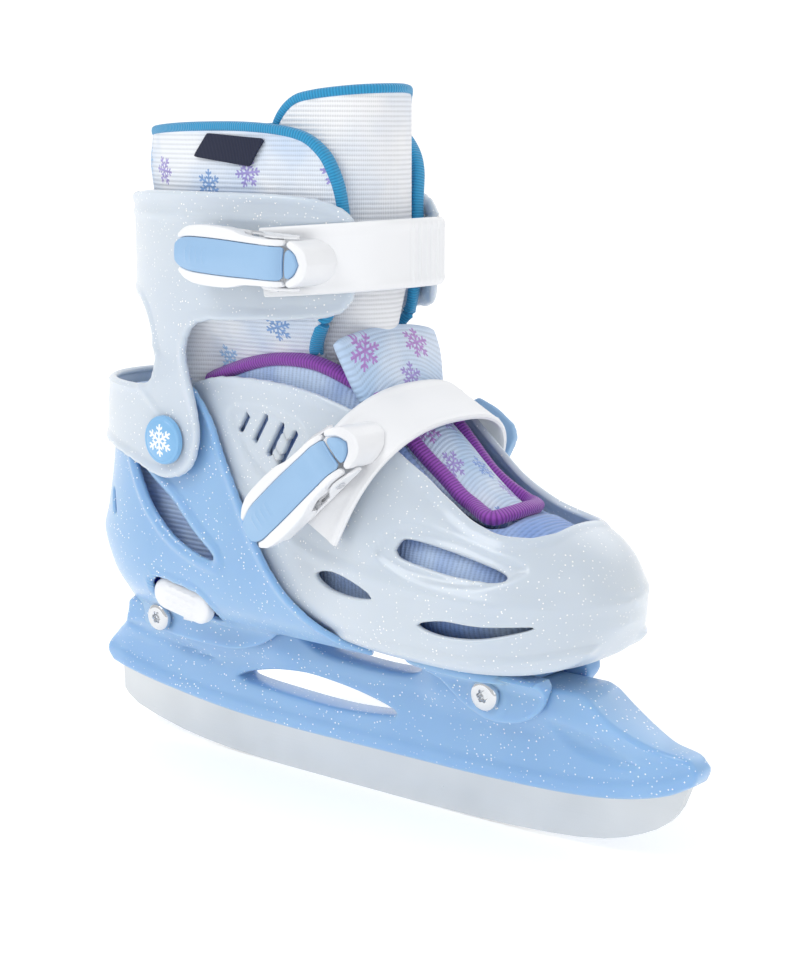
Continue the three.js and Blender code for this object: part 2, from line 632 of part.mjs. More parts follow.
// ---- Straps ----
const cuffStrapTop = 213;
function sheared(body, slope, pivotX) {
  const geometry = geometryOf(body);
  geometry.applyMatrix4(new THREE.Matrix4().set(1, 0, 0, 0, 0, 1, 0, 0, slope, 0, 1, -slope * pivotX, 0, 0,
    0, 1));
  return geometry;
}
// A plan outline round the leg, closed across the front.
function strapOutline(offset, limitX) {
  const side = legOutline(cuffHalf + offset, 70, cuffFrontReach + offset, limitX, 20);
  return [...side.map(([x, y]) => [x, -y]), ...side.slice(0, -1).reverse()];
}
const strapGap = 0.6;
const cuffStrap = cut(
  planPrism(strapOutline(strapGap + strapThickness, 27), cuffStrapTop - strapWidth, cuffStrapTop),
  planPrism(strapOutline(strapGap, 24.6), 150, 240),
  block(-130, -20, -wide, 0, 150, 240), block(-130, -30, 0, wide, 150, 240),
);
piece('cuff_strap', sheared(cuffStrap, 0.08, -15), white);

// The instep strap is an arch in the plane across the instep, as wide as the strap along its slope.
const instepSlope = 0.49;
const instepPlace = { along: -46.5, low: 106, half: 41.2, rise: 39.2, middle: 1.2 };
function archOutline(grow, lowNear, lowFar) {
  const outline = [];
  for (let i = 0; i <= 24; i += 1) {
    const angle = Math.PI * (i / 24);
    const c = Math.cos(angle);
    const y = instepPlace.middle - Math.sign(c) * (instepPlace.half + grow) * Math.abs(c) ** 0.8;
    outline.push([y, instepPlace.low + (instepPlace.rise + grow) * Math.sin(angle) ** 0.8]);
  }
  return [[outline[0][0], lowNear], ...outline, [outline[24][0], lowFar]];
}
const archOuter = archOutline(strapThickness, 99, 96);
const archInner = archOutline(0, 99, 96).reverse();
const instepGroup = new THREE.Group();
instepGroup.rotation.y = instepSlope;
skate.add(instepGroup);
const instepShape = new THREE.Shape([...archOuter, ...archInner].map(([y, n]) => new THREE.Vector2(y, n)));
const instepStrap = new THREE.ExtrudeGeometry(instepShape, { depth: strapWidth, bevelEnabled: false,
  steps: 1 });
instepStrap.rotateX(Math.PI / 2);
instepStrap.rotateZ(Math.PI / 2);
instepStrap.translate(instepPlace.along - strapWidth / 2, 0, 0);
piece('instep_strap', instepStrap, white, instepGroup);

// ---- Lever buckles ----
// In a buckle's own frame +X runs from the hinge pin to the grip, Y is the pin and +Z points outwards.
function buckleFrame(origin, along, outward) {
  const x = new THREE.Vector3(...along).normalize();
  const z = new THREE.Vector3(...outward);
  z.addScaledVector(x, -z.dot(x)).normalize();
  const y = new THREE.Vector3().crossVectors(z, x);
  const group = new THREE.Group();
  group.matrixAutoUpdate = false;
  group.matrix.makeBasis(x, y, z).setPosition(...origin);
  skate.add(group);
  return group;
}

const leverReach = 42.5;
const leverHalf = 10;
const neckHalf = 4.6;
const pinHole = 1.35;
function leverBuckle(name, group) {
  const grip = [[-1.4, -neckHalf], [7.8, -neckHalf], [9.5, -leverHalf], [34, -leverHalf], [41, -6.5],
    [leverReach, 0], [41, 6.5], [34, leverHalf],
    [9.5, leverHalf], [7.8, neckHalf], [-1.4, neckHalf]];
  const plate = planPrism(grip, 2.4, 5);
  const skirt = [[10, 7.6], [32, 7.6], [38.5, 5], [39.5, 6.6], [33, 9.8], [10, 9.8]];
  const skirts = [
    planPrism(skirt, -2.4, 2.6),
    planPrism([...skirt].reverse().map(([x, y]) => [x, -y]), -2.4, 2.6),
  ];
  const hub = joined(bar(2.3, -4.6, 4.6, 0, 0, 16), block(-1.4, 4, -4.6, 4.6, 0, 2.6));
  const recess = planPrism(insertOutline(0.3), 3.6, 6);
  piece(`${name}_lever`, cut(joined(plate, ...skirts, hub), bar(pinHole, -20, 20, 0, 0, 16), recess),
    white, group);
  const pad = joined(planPrism(insertOutline(0), 3.9, 5.8), planPrism(insertOutline(-1.4), 5.7, 6.8));
  piece(`${name}_lever_insert`, pad, lightBlue, group);
  piece(`${name}_lever_pin`, bar(1.2, -9.6, 9.6, 0, 0, 12), chrome, group);
  const cheeks = [-1, 1].map((side) => {
    const outline = [[-5, -4], [6, -4], [4.5, 1.2], [0, 2.1], [-3.5, 1.2]];
    return sidePrism(outline, side > 0 ? 5 : -7.2, side > 0 ? 7.2 : -5);
  });
  const nose = planPrism([[-13.5, 0], [-9.5, 6.5], [-6.2, 7.4], [-6.2, -7.4], [-9.5, -6.5]], -3.2, 2.2);
  const floor = planPrism([[-12, -3], [-9.5, -6.5], [-6, -7.2], [24, -7.2], [24, 7.2], [-6, 7.2], [-9.5, 6.5],
    [-12, 3]], -4.2, -3.1);
  piece(`${name}_buckle_base`, cut(joined(floor, nose, ...cheeks), bar(pinHole, -20, 20, 0, 0, 16)), white,
    group);
}

function insertOutline(grow) {
  const outline = [];
  for (let i = 0; i < 20; i += 1) {
    const turn = (2 * Math.PI * i) / 20;
    const c = Math.cos(turn);
    outline.push([22.5 + (18.5 + grow) * Math.sign(c) * Math.abs(c) ** 0.8,
      (5.4 + grow) * Math.sin(turn)]);
  }
  return outline;
}
leverBuckle('cuff', buckleFrame([-8, -44.8, 201.5], [-1, 0, 0.05], [0, -1, 0]));
leverBuckle('instep', buckleFrame([17, -47, 134], [-0.75, 0, -0.66], [0, -1, 0]));

// ---- Ratchet receivers on the inner side ----
function ratchetReceiver(name, group) {
  const half = strapWidth / 2 + 0.6;
  const cheeks = [-1, 1].map((side) => {
    const outline = [[-6, -3.7], [14, -3.7], [11, -1.5], [2.6, 2.4], [-2.6, 2.4]];
    return sidePrism(outline, side > 0 ? half : -half - 1.8, side > 0 ? half + 1.8 : -half);
  });
  const bridge = block(-6, 12, -half - 0.2, half + 0.2, -3.7, -2.7);
  piece(`${name}_receiver`, cut(joined(...cheeks, bridge), bar(pinHole, -30, 30, 0, 0, 16)), lightBlue,
    group);
  piece(`${name}_receiver_pin`, bar(1.2, -half - 2.2, half + 2.2, 0, 0, 12), chrome, group);
  const plate = sidePrism([[-2, 1.2], [2, 1.9], [12, 2.6], [24, 1.6], [25, 2.8], [12, 5.2], [0, 4.4],
    [-2.4, 3]],
    -half + 0.5, half - 0.5);
  const hub = bar(2.4, -half + 0.5, half - 0.5, 0, 0, 16);
  piece(`${name}_ratchet`, cut(joined(plate, hub), bar(pinHole, -30, 30, 0, 0, 16)), lightBlue, group);
}
ratchetReceiver('cuff', buckleFrame([-31, 44.9, 201.5], [1, 0, 0.08], [0, 1, 0]));
ratchetReceiver('instep', buckleFrame([6.2, 48.8, 119.5], [0.47, 0, 0.88], [0, 1, 0]));

// ---- Padded collar, its bindings, the upper tongue and the label tab, all carried by the cuff ----
const collarSide = [[-112, 156], [-64, 157], [-36, 167.5], [-12, 173], [4, 174], ...curved([[5, 190], [5,
  215], [3, 229], [-2, 239],
  [-12, 245], [-32, 247.5]], 10), ...curved([[-60, 247.5], [-90, 246], [-112, 243.5]], 4)];
const collar = legWall(collarHalf, 55.5, 63.5, 2.5, collarWall, 150, 250).intersect(sidePrism(collarSide,
  -wide, wide));
piece('liner_collar', collar, knit);

function collarEdge(limitX) {
  const rim = smooth([[-112, 244], [-90, 246.3], [-60, 248], [-32, 247.8], [-12, 245.3], [-4, 241.5], [1,
    236]]);
  return legOutline(collarHalf - 2, 53.5, 61.5, limitX, 14).map(([x, y]) => [x, y, rim(x) + 1.9]);
}
const edgeHalf = collarEdge(0);
const collarPath = new THREE.CatmullRomCurve3([
  ...edgeHalf.map(([x, y, z]) => new THREE.Vector3(x, -y, z)),
  ...edgeHalf.slice(0, -1).reverse().map(([x, y, z]) => new THREE.Vector3(x, y, z)),
]);
piece('collar_binding', new THREE.ExtrudeGeometry(tapeSection, {
  steps: 60, bevelEnabled: false, extrudePath: collarPath }), cyanTape);

// The tongue is turned towards the outer side, where its edge tucks behind the collar.
const tongueFrom = -1.6;
const tongueTo = 0.78;
const tongueOutline = (half, reach) => {
  const side = [];
  for (let i = 0; i <= 12; i += 1) {
    const angle = tongueFrom + ((tongueTo - tongueFrom) * i) / 12;
    side.push([-25 + reach * Math.cos(angle), half * Math.sin(angle)]);
  }
  return side;
};
const tongueWall = planPrism([...tongueOutline(26.4, 36), ...tongueOutline(21.2, 30.8).reverse()], 182, 262);
const tongueTrim = sidePrism([[-60, 262.5], [-60, 249], [-31, 252], [-12, 257], [5, 260.2], [14, 261], [14,
  262.5]],
  -wide, wide);
piece('tongue_upper', cut(tongueWall, tongueTrim), knit);
const tongueEdge = tongueOutline(23.8, 33.4).map(([x, y]) => {
  const z = smooth([[-60, 249], [-31, 252], [-12, 257], [5, 260.2], [14, 261]])(x);
  return new THREE.Vector3(x, y, z + 1.7);
});
piece('tongue_binding', new THREE.ExtrudeGeometry(tapeSection, {
  steps: 30, bevelEnabled: false, extrudePath: new THREE.CatmullRomCurve3(tongueEdge) }), cyanTape);

piece('label_tab', block(-64, -34, -35.2, -34.1, 233, 244.5), navyTape);

export default skate;
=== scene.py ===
# A child's adjustable ice skate for the right foot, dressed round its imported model: glittering moulded shells,
# a padded knit liner, lever buckles and a steel blade. Tables are in millimetres, in the model's own frame.
import math
from functools import partial
import bpy
import numpy as np
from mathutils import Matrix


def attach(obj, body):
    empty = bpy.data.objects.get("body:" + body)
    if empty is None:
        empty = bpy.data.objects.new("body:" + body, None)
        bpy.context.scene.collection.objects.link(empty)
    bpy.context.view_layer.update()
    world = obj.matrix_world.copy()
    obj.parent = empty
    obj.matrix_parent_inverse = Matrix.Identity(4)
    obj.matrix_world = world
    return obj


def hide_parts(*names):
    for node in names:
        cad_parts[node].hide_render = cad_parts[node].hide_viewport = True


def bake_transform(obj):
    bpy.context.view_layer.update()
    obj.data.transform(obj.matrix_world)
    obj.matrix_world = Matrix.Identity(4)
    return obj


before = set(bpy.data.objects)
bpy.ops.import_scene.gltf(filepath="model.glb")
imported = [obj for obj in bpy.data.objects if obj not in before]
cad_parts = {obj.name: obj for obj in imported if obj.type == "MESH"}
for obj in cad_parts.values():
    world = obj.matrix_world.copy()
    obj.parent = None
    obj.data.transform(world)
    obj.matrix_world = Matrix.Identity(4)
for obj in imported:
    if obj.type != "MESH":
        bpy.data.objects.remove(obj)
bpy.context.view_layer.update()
mm = 0.001


# Shape tools: surfaces are numpy arrays in millimetres until addPiece makes them meshes.

def smooth(stations):
    # a value through [at, value] stations: cubic between neighbours, level past both ends
    at, value = np.array(stations, float).T
    slope = np.gradient(value, at)
    slope[1:-1] = (value[2:] - value[:-2]) / (at[2:] - at[:-2])

    def reading(x):
        x = np.clip(x, at[0], at[-1])
        i = np.clip(np.searchsorted(at, x, side="right") - 1, 0, len(at) - 2)
        span = at[i + 1] - at[i]
        t = (x - at[i]) / span
        rise = t * t * (3 - 2 * t)
        leave, arrive = t * (1 - t) ** 2 * span * slope[i], t * t * (t - 1) * span * slope[i + 1]
        return value[i] + (value[i + 1] - value[i]) * rise + leave + arrive
    return reading


def ramp(x, low, high):
    # 0 below low, 1 above high, smooth between
    t = np.clip((x - low) / (high - low), 0, 1)
    return t * t * (3 - 2 * t)


def evenly(points, step, closed=False):
    # the same line with its points a step apart
    p = np.vstack([points, points[:1]]) if closed else np.asarray(points, float)
    run = np.concatenate([[0], np.cumsum(np.linalg.norm(np.diff(p, axis=0), axis=1))])
    count = max(int(round(run[-1] / step)), 3) + 1
    at = np.linspace(0, run[-1], count)
    out = np.stack([np.interp(at, run, p[:, k]) for k in range(p.shape[1])], 1)
    return out[:-1] if closed else out


def curve(points, step=1.5, closed=False):
    # a Catmull-Rom curve through the points, its own points a step apart
    p = np.array(points, float)
    ends = (p[-1:], p[:2]) if closed else (2 * p[:1] - p[1:2], 2 * p[-1:] - p[-2:-1])
    q = np.vstack([ends[0], p, ends[1]])
    t = np.linspace(0, 1, 20, endpoint=False)[:, None]
    spans = [0.5 * (2 * b + (c - a) * t + (2 * a - 5 * b + 4 * c - d) * t ** 2 + (3 * b - a - 3 * c + d) * t ** 3)
             for a, b, c, d in zip(q[:-3], q[1:-2], q[2:-1], q[3:])]
    line = np.vstack(spans if closed else spans + [p[-1:]])
    return evenly(line, step, closed)


def awayFrom(ring):
    # signed distance to a closed outline, below zero inside it
    a = np.array(ring, float)
    b = np.roll(a, -1, 0)
    edge = b - a
    size = np.maximum((edge ** 2).sum(1), 1e-12)
    run = np.where(edge[:, 1] == 0, 1e-9, edge[:, 1])

    def reading(points):
        out = np.empty(len(points))
        for part in np.array_split(np.arange(len(points)), len(points) * len(a) // 3000000 + 1):
            q = points[part][:, None, :]
            t = np.clip(((q - a) * edge).sum(2) / size, 0, 1)
            gap = np.sqrt(((a + t[..., None] * edge - q) ** 2).sum(2)).min(1)
            crossed = (a[:, 1] > q[..., 1]) != (b[:, 1] > q[..., 1])
            left = q[..., 0] < a[:, 0] + (q[..., 1] - a[:, 1]) / run * edge[:, 0]
            out[part] = np.where((crossed & left).sum(1) % 2 == 1, -gap, gap)
        return out
    return reading


def slotRing(x, z, length, width, angle):
    # a slot with round ends, seen from the side
    turn = np.linspace(0, 2 * math.pi, 28, endpoint=False)
    along = np.cos(turn) * width / 2 + np.sign(np.cos(turn)) * (length - width) / 2
    across = np.sin(turn) * width / 2
    c, s = math.cos(angle), math.sin(angle)
    return np.stack([x + along * c - across * s, z + along * s + across * c], 1)


class Skin:
    # a surface: points, triangles that face outwards, and a uv in metres for each point
    def __init__(self, points, tris, uv=None):
        self.points, self.tris = points, tris
        self.uv = np.zeros((len(points), 2)) if uv is None else uv

    def normals(self):
        p, t = self.points, self.tris
        face = np.cross(p[t[:, 1]] - p[t[:, 0]], p[t[:, 2]] - p[t[:, 0]])
        total = np.stack([sum(np.bincount(t[:, c], face[:, k], len(p)) for c in range(3)) for k in range(3)], 1)
        return total / np.maximum(np.linalg.norm(total, axis=1, keepdims=True), 1e-12)

    def pushed(self, amount):
        return Skin(self.points + self.normals() * amount[:, None], self.tris, self.uv)


def both(*skins):
    # several surfaces as one
    starts = np.cumsum([0] + [len(s.points) for s in skins[:-1]])
    return Skin(np.vstack([s.points for s in skins]), np.vstack([s.tris + k for s, k in zip(skins, starts)]),
                np.vstack([s.uv for s in skins]))


def grid(points, wrap=False, uv=None, flip=False):
    # triangles over a grid of points (rows, columns, 3); wrap joins the last column to the first
    rows, columns = points.shape[:2]
    i, j = np.meshgrid(np.arange(rows - 1), np.arange(columns if wrap else columns - 1), indexing="ij")
    k = (j + 1) % columns
    a, b, c, d = [(r * columns + s).ravel() for r, s in ((i, j), (i + 1, j), (i + 1, k), (i, k))]
    tris = np.vstack([np.stack([a, b, c], 1), np.stack([a, c, d], 1)])
    skin = Skin(points.reshape(-1, 3), tris[:, ::-1] if flip else tris)
    if uv is not None:
        skin.uv = uv.reshape(-1, 2)
    return skin


def capped(skin, ring, flip=False):
    # closes a ring of point numbers with a fan round its middle
    hub = len(skin.points)
    fan = np.stack([ring, np.roll(ring, -1), np.full(len(ring), hub)], 1)
    return Skin(np.vstack([skin.points, skin.points[ring].mean(0)]),
                np.vstack([skin.tris, fan[:, ::-1] if flip else fan]), np.vstack([skin.uv, skin.uv[ring].mean(0)]))


def cutAway(skin, field):
    # keeps the part of a surface where field is below zero. Points close to the cut move onto it, and each
    # triangle that still crosses it is divided along it.
    p, t, uv = skin.points.copy(), skin.tris, skin.uv.copy()
    f = field.copy()
    edges = np.unique(np.sort(np.vstack([t[:, [0, 1]], t[:, [1, 2]], t[:, [2, 0]]]), 1), axis=0)
    crossed = edges[f[edges[:, 0]] * f[edges[:, 1]] < 0]
    ends = np.vstack([crossed, crossed[:, ::-1]])
    share = f[ends[:, 0]] / (f[ends[:, 0]] - f[ends[:, 1]])
    order = np.lexsort((share, ends[:, 0]))
    ends, share = ends[order], share[order]
    near, first = np.unique(ends[:, 0], return_index=True)
    close = share[first] < 0.32
    near, other, share = near[close], ends[first[close], 1], share[first[close], None]
    p[near] += share * (skin.points[other] - skin.points[near])
    uv[near] += share * (skin.uv[other] - skin.uv[near])
    f[near] = 0
    side = np.sign(f[t]).astype(int)
    middle = f[t].mean(1)
    whole = (side <= 0).all(1) & (middle < 0)
    mixed = (side < 0).any(1) & (side > 0).any(1)
    cut, s = t[mixed], side[mixed]
    below, zero = [(s == k).sum(1) for k in (-1, 0)]
    odd = np.where(zero == 1, 0, np.where(below == 1, -1, 1))
    start = (s == odd[:, None]).argmax(1)
    turn = (np.arange(3)[None, :] + start[:, None]) % 3
    cut, s = np.take_along_axis(cut, turn, 1), np.take_along_axis(s, turn, 1)
    pairs = np.vstack([cut[:, [0, 1]], cut[:, [0, 2]], cut[:, [1, 2]]])
    kept = np.concatenate([zero == 0, zero == 0, zero == 1])
    lookup, number = np.unique(np.sort(pairs[kept], 1), axis=0, return_inverse=True)
    where = np.full(len(pairs), -1)
    where[kept] = number.ravel() + len(p)
    ab, ac, bc = np.split(where, 3)
    share = (f[lookup[:, 0]] / (f[lookup[:, 0]] - f[lookup[:, 1]]))[:, None]
    p = np.vstack([p, p[lookup[:, 0]] * (1 - share) + p[lookup[:, 1]] * share])
    uv = np.vstack([uv, uv[lookup[:, 0]] * (1 - share) + uv[lookup[:, 1]] * share])
    tip, pair = (zero == 0) & (below == 1), (zero == 0) & (below == 2)
    after, before = (zero == 1) & (s[:, 1] < 0), (zero == 1) & (s[:, 1] > 0)
    new = [t[whole],
           np.stack([cut[tip, 0], ab[tip], ac[tip]], 1),
           np.stack([ab[pair], cut[pair, 1], cut[pair, 2]], 1), np.stack([ab[pair], cut[pair, 2], ac[pair]], 1),
           np.stack([cut[after, 0], cut[after, 1], bc[after]], 1),
           np.stack([cut[before, 0], bc[before], cut[before, 2]], 1)]
    tris = np.vstack(new)
    used, tris = np.unique(tris, return_inverse=True)
    return Skin(p[used], tris.reshape(-1, 3), uv[used])


def walled(skin, under, radius):
    # closes a surface with another under it; every free edge is rounded by radius, outwards and down
    p, t, n = skin.points, skin.tris, len(skin.points)
    edges = np.vstack([t[:, [0, 1]], t[:, [1, 2]], t[:, [2, 0]]])
    code = np.sort(edges, 1) @ np.array([n, 1])
    values, first, counts = np.unique(code, return_index=True, return_counts=True)
    rim = edges[first[counts == 1]]
    depth = p - under
    deep = np.maximum(np.linalg.norm(depth, axis=1, keepdims=True), 1e-9)
    down = depth / deep
    out = np.cross(p[rim[:, 1]] - p[rim[:, 0]], down[rim].mean(1))
    total = np.stack([np.bincount(rim.ravel(), np.repeat(out[:, k], 2), n) for k in range(3)], 1)
    ring, place = np.unique(rim, return_inverse=True)
    place = place.reshape(-1, 2)
    b = total[ring] / np.maximum(np.linalg.norm(total[ring], axis=1, keepdims=True), 1e-12)
    w = down[ring]
    turn = np.linspace(0, math.pi / 2, 4)[1:]  # three rows of facets round each edge
    upper = [p[ring] + radius * (math.sin(a) * b + (math.cos(a) - 1) * w) for a in turn]
    lower = [under[ring] + radius * (math.sin(a) * b + (1 - math.cos(a)) * w) for a in turn[::-1]]
    if abs(deep[ring].mean() - 2 * radius) < 0.05:
        lower = lower[1:]
    levels = upper + lower
    points = np.vstack([p, under] + levels)
    tris = [t, t[:, ::-1] + n]
    count = len(ring)
    number = [ring] + [2 * n + k * count + np.arange(count) for k in range(len(levels))] + [ring + n]
    for high, low in zip(number[:-1], number[1:]):
        i, j = place[:, 0], place[:, 1]
        tris += [np.stack([high[j], high[i], low[i]], 1), np.stack([high[j], low[i], low[j]], 1)]
    uv = np.vstack([skin.uv, skin.uv] + [skin.uv[ring]] * len(levels))
    return Skin(points, np.vstack(tris), uv)


def shell(skin, wall, radius):
    # a moulded wall under a surface, its free edges rounded by radius
    return walled(skin, skin.points - skin.normals() * wall, radius)


def slab(ring, low, high, radius, step, place, holes=()):
    # an outline filled between two heights (numbers or functions of its own two coordinates), its edges
    # rounded; place carries (a, b, height) into the frame of the skate
    ring = np.array(ring, float)
    lo, hi = ring.min(0) - step, ring.max(0) + step
    a, b = np.meshgrid(np.arange(lo[0], hi[0] + step, step), np.arange(lo[1], hi[1] + step, step), indexing="ij")
    flat = grid(np.stack([a, b, 0 * a], 2))
    spot = flat.points[:, :2]
    field = awayFrom(ring)(spot) + radius
    for hole in holes:
        field = np.maximum(field, radius - awayFrom(hole)(spot))
    flat = cutAway(flat, field)
    a, b = flat.points[:, 0], flat.points[:, 1]
    top = np.stack([a, b, high(a, b) if callable(high) else 0 * a + high], 1)
    under = np.stack([a, b, low(a, b) if callable(low) else 0 * a + low], 1)
    body = walled(Skin(top, flat.tris, flat.points[:, :2] * mm), under, radius)
    return outwards(Skin(place(body.points), body.tris, body.uv))


def sweep(path, section, up, closed=False):
    # a closed section (side, up) carried along a path; up is the direction that its second axis keeps to
    path = np.asarray(path, float)
    ahead = np.roll(path, -1, 0) - np.roll(path, 1, 0) if closed else np.gradient(path, axis=0)
    ahead /= np.linalg.norm(ahead, axis=1, keepdims=True)
    side = np.cross(ahead, np.broadcast_to(up, path.shape))
    side /= np.linalg.norm(side, axis=1, keepdims=True)
    top = np.cross(side, ahead)
    s = np.broadcast_to(section, (len(path),) + np.shape(section)[-2:])
    points = path[:, None] + s[..., :1] * side[:, None] + s[..., 1:] * top[:, None]
    run = np.concatenate([[0], np.cumsum(np.linalg.norm(np.diff(path, axis=0), axis=1))])
    round_ = np.arange(points.shape[1]) / points.shape[1]
    uv = np.stack(np.broadcast_arrays(run[:, None] * mm, round_[None, :] * 0.01), 2)
    if closed:
        points, uv = np.concatenate([points, points[:1]]), np.concatenate([uv, uv[:1]])
    skin = grid(points, wrap=True, uv=uv)
    if not closed:
        width = points.shape[1]
        skin = capped(skin, np.arange(width), flip=False)
        skin = capped(skin, np.arange(width) + width * (len(path) - 1), flip=True)
    return outwards(skin)


def roundBox(wide, high, radius):
    # a rectangle with round corners, as a section, running anticlockwise
    turn = np.linspace(0, math.pi / 2, 5)
    arcs = [np.stack([sx * (wide / 2 - radius) + radius * np.cos(turn + start),
                      sy * (high / 2 - radius) + radius * np.sin(turn + start)], 1)
            for sx, sy, start in ((1, 1, 0), (-1, 1, math.pi / 2), (-1, -1, math.pi), (1, -1, 1.5 * math.pi))]
    return np.vstack(arcs)


def spun(profile, centre, outward, count=48, lobe=None):
    # a profile (radius, height) turned round the Y axis through centre; outward is -1 or 1 along Y
    profile = np.array(profile, float)
    turn = np.linspace(0, 2 * math.pi, count, endpoint=False)
    radius = profile[:, 0][:, None] * (1 if lobe is None else lobe(profile[:, 0][:, None], turn[None, :]))
    radius = np.broadcast_to(radius, (len(profile), count))
    height = np.broadcast_to(profile[:, 1][:, None], radius.shape)
    points = np.stack([centre[0] + radius * np.cos(turn), centre[1] + outward * height,
                       centre[2] + radius * np.sin(turn)], 2)
    skin = grid(points, wrap=True)
    skin = capped(skin, np.arange(count), flip=False)
    skin = capped(skin, np.arange(count) + count * (len(profile) - 1), flip=True)
    return outwards(skin)


def facing(skin, number, direction):
    # turns an open surface over if its point of that number doesn't face the direction
    if np.dot(skin.normals()[number], direction) < 0:
        skin.tris = skin.tris[:, ::-1]
    return skin


def outwards(skin):
    # turns a closed surface right side out
    a, b, c = (skin.points[skin.tris[:, k]] for k in range(3))
    if np.einsum("ij,ij->i", a, np.cross(b, c)).sum() < 0:
        skin.tris = skin.tris[:, ::-1]
    return skin


def sideways(p):
    # (along x, along z, outwards from the outer side) into the frame
    return np.stack([p[:, 0], -p[:, 2], p[:, 1]], 1)


def upwards(p):
    # (x, y, height) is the frame's own order
    return p


def framed(origin, along, outward):
    # a buckle's own frame: x to the grip, y along the pin, z outwards
    x = np.array(along, float) / np.linalg.norm(along)
    z = np.array(outward, float) - np.dot(outward, x) * x
    z /= np.linalg.norm(z)
    y = np.cross(z, x)
    return lambda p: np.array(origin) + p[:, :1] * x + p[:, 1:2] * y + p[:, 2:] * z


def placed(name, data):
    item = bpy.data.objects.new(name, data)
    bpy.context.scene.collection.objects.link(item)
    return item


def addPiece(name, skin, body, material, stands=()):
    # a mesh from a closed skin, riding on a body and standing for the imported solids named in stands
    skin = outwards(skin)
    mesh = bpy.data.meshes.new(name)
    mesh.from_pydata((skin.points * mm).tolist(), [], skin.tris.tolist())
    mesh.uv_layers.new(name="cloth").data.foreach_set("uv", skin.uv[skin.tris.ravel()].ravel().astype(np.float32))
    mesh.validate()
    mesh.shade_smooth()
    mesh.set_sharp_from_angle(angle=math.radians(38))
    mesh.materials.append(material)
    piece = placed(name, mesh)
    if body:
        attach(piece, body)
    if stands:
        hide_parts(*stands)
    return piece


# Materials.

def hexColour(code):
    # an sRGB hex code as a linear colour
    parts = [int(code[k:k + 2], 16) / 255 for k in (1, 3, 5)]
    return [c / 12.92 if c <= 0.04045 else ((c + 0.055) / 1.055) ** 2.4 for c in parts] + [1]


def add(tree, kind, settings=None, links=None):
    # adds a node with its settings, and its inputs as values or links
    node = tree.nodes.new("ShaderNode" + kind)
    for key, value in (settings or {}).items():
        setattr(node, key, value)
    for key, value in (links or {}).items():
        if isinstance(value, bpy.types.NodeSocket):
            tree.links.new(value, node.inputs[key])
        else:
            node.inputs[key].default_value = value
    return node


def maths(tree, kind, *values):
    # a maths node's result
    return add(tree, "Math", {"operation": kind}, dict(enumerate(values))).outputs[0]


def mixed(tree, share, first, second):
    # two colours mixed by share; each is a hex code or a link
    ends = [hexColour(c) if isinstance(c, str) else c for c in (first, second)]
    return add(tree, "Mix", {"data_type": "RGBA"}, {0: share, 6: ends[0], 7: ends[1]}).outputs[2]


def waves(tree, along, gap):
    # a sine along a uv axis, repeating every gap millimetres
    return maths(tree, "SINE", maths(tree, "MULTIPLY", along, 2 * math.pi / (gap * mm)))


def newMaterial(name, values):
    # values are the shader's plain inputs
    material = bpy.data.materials.new(name)
    material.use_nodes = True
    tree = material.node_tree
    shader = tree.nodes["Principled BSDF"]
    for key, value in values.items():
        shader.inputs[key].default_value = value
    return material, tree, shader


def surfaced(tree, shader, colour, height, strength, depth):
    # gives the shader its colour and its relief; depth is in metres
    relief = add(tree, "Bump", links={"Height": height, "Strength": strength, "Distance": depth}).outputs[0]
    tree.links.new(colour, shader.inputs["Base Color"])
    tree.links.new(relief, shader.inputs["Normal"])


def unevenGloss(tree, shader, height, low, high):
    # roughness that wanders between two values
    gloss = add(tree, "MapRange", links={0: height, 3: low, 4: high}).outputs[0]
    tree.links.new(gloss, shader.inputs["Roughness"])


def paint(name, base, dark, values, grain, bump, stretch=(1, 1, 1)):
    # a plain finish: two close shades, uneven gloss and a fine surface grain whose size is in millimetres
    material, tree, shader = newMaterial(name, values)
    spot = add(tree, "TexCoord").outputs["Object"]
    pulled = add(tree, "Mapping", links={"Vector": spot, "Scale": stretch}).outputs[0]
    fine = add(tree, "TexNoise", links={"Vector": pulled, "Scale": 1 / (grain * mm), "Detail": 4.0}).outputs[0]
    wide = add(tree, "TexNoise", links={"Vector": spot, "Scale": 35.0, "Detail": 2.0}).outputs[0]
    unevenGloss(tree, shader, fine, values["Roughness"] * 0.8, values["Roughness"] * 1.25)
    surfaced(tree, shader, mixed(tree, wide, base, dark), fine, bump, 0.0002)
    return material


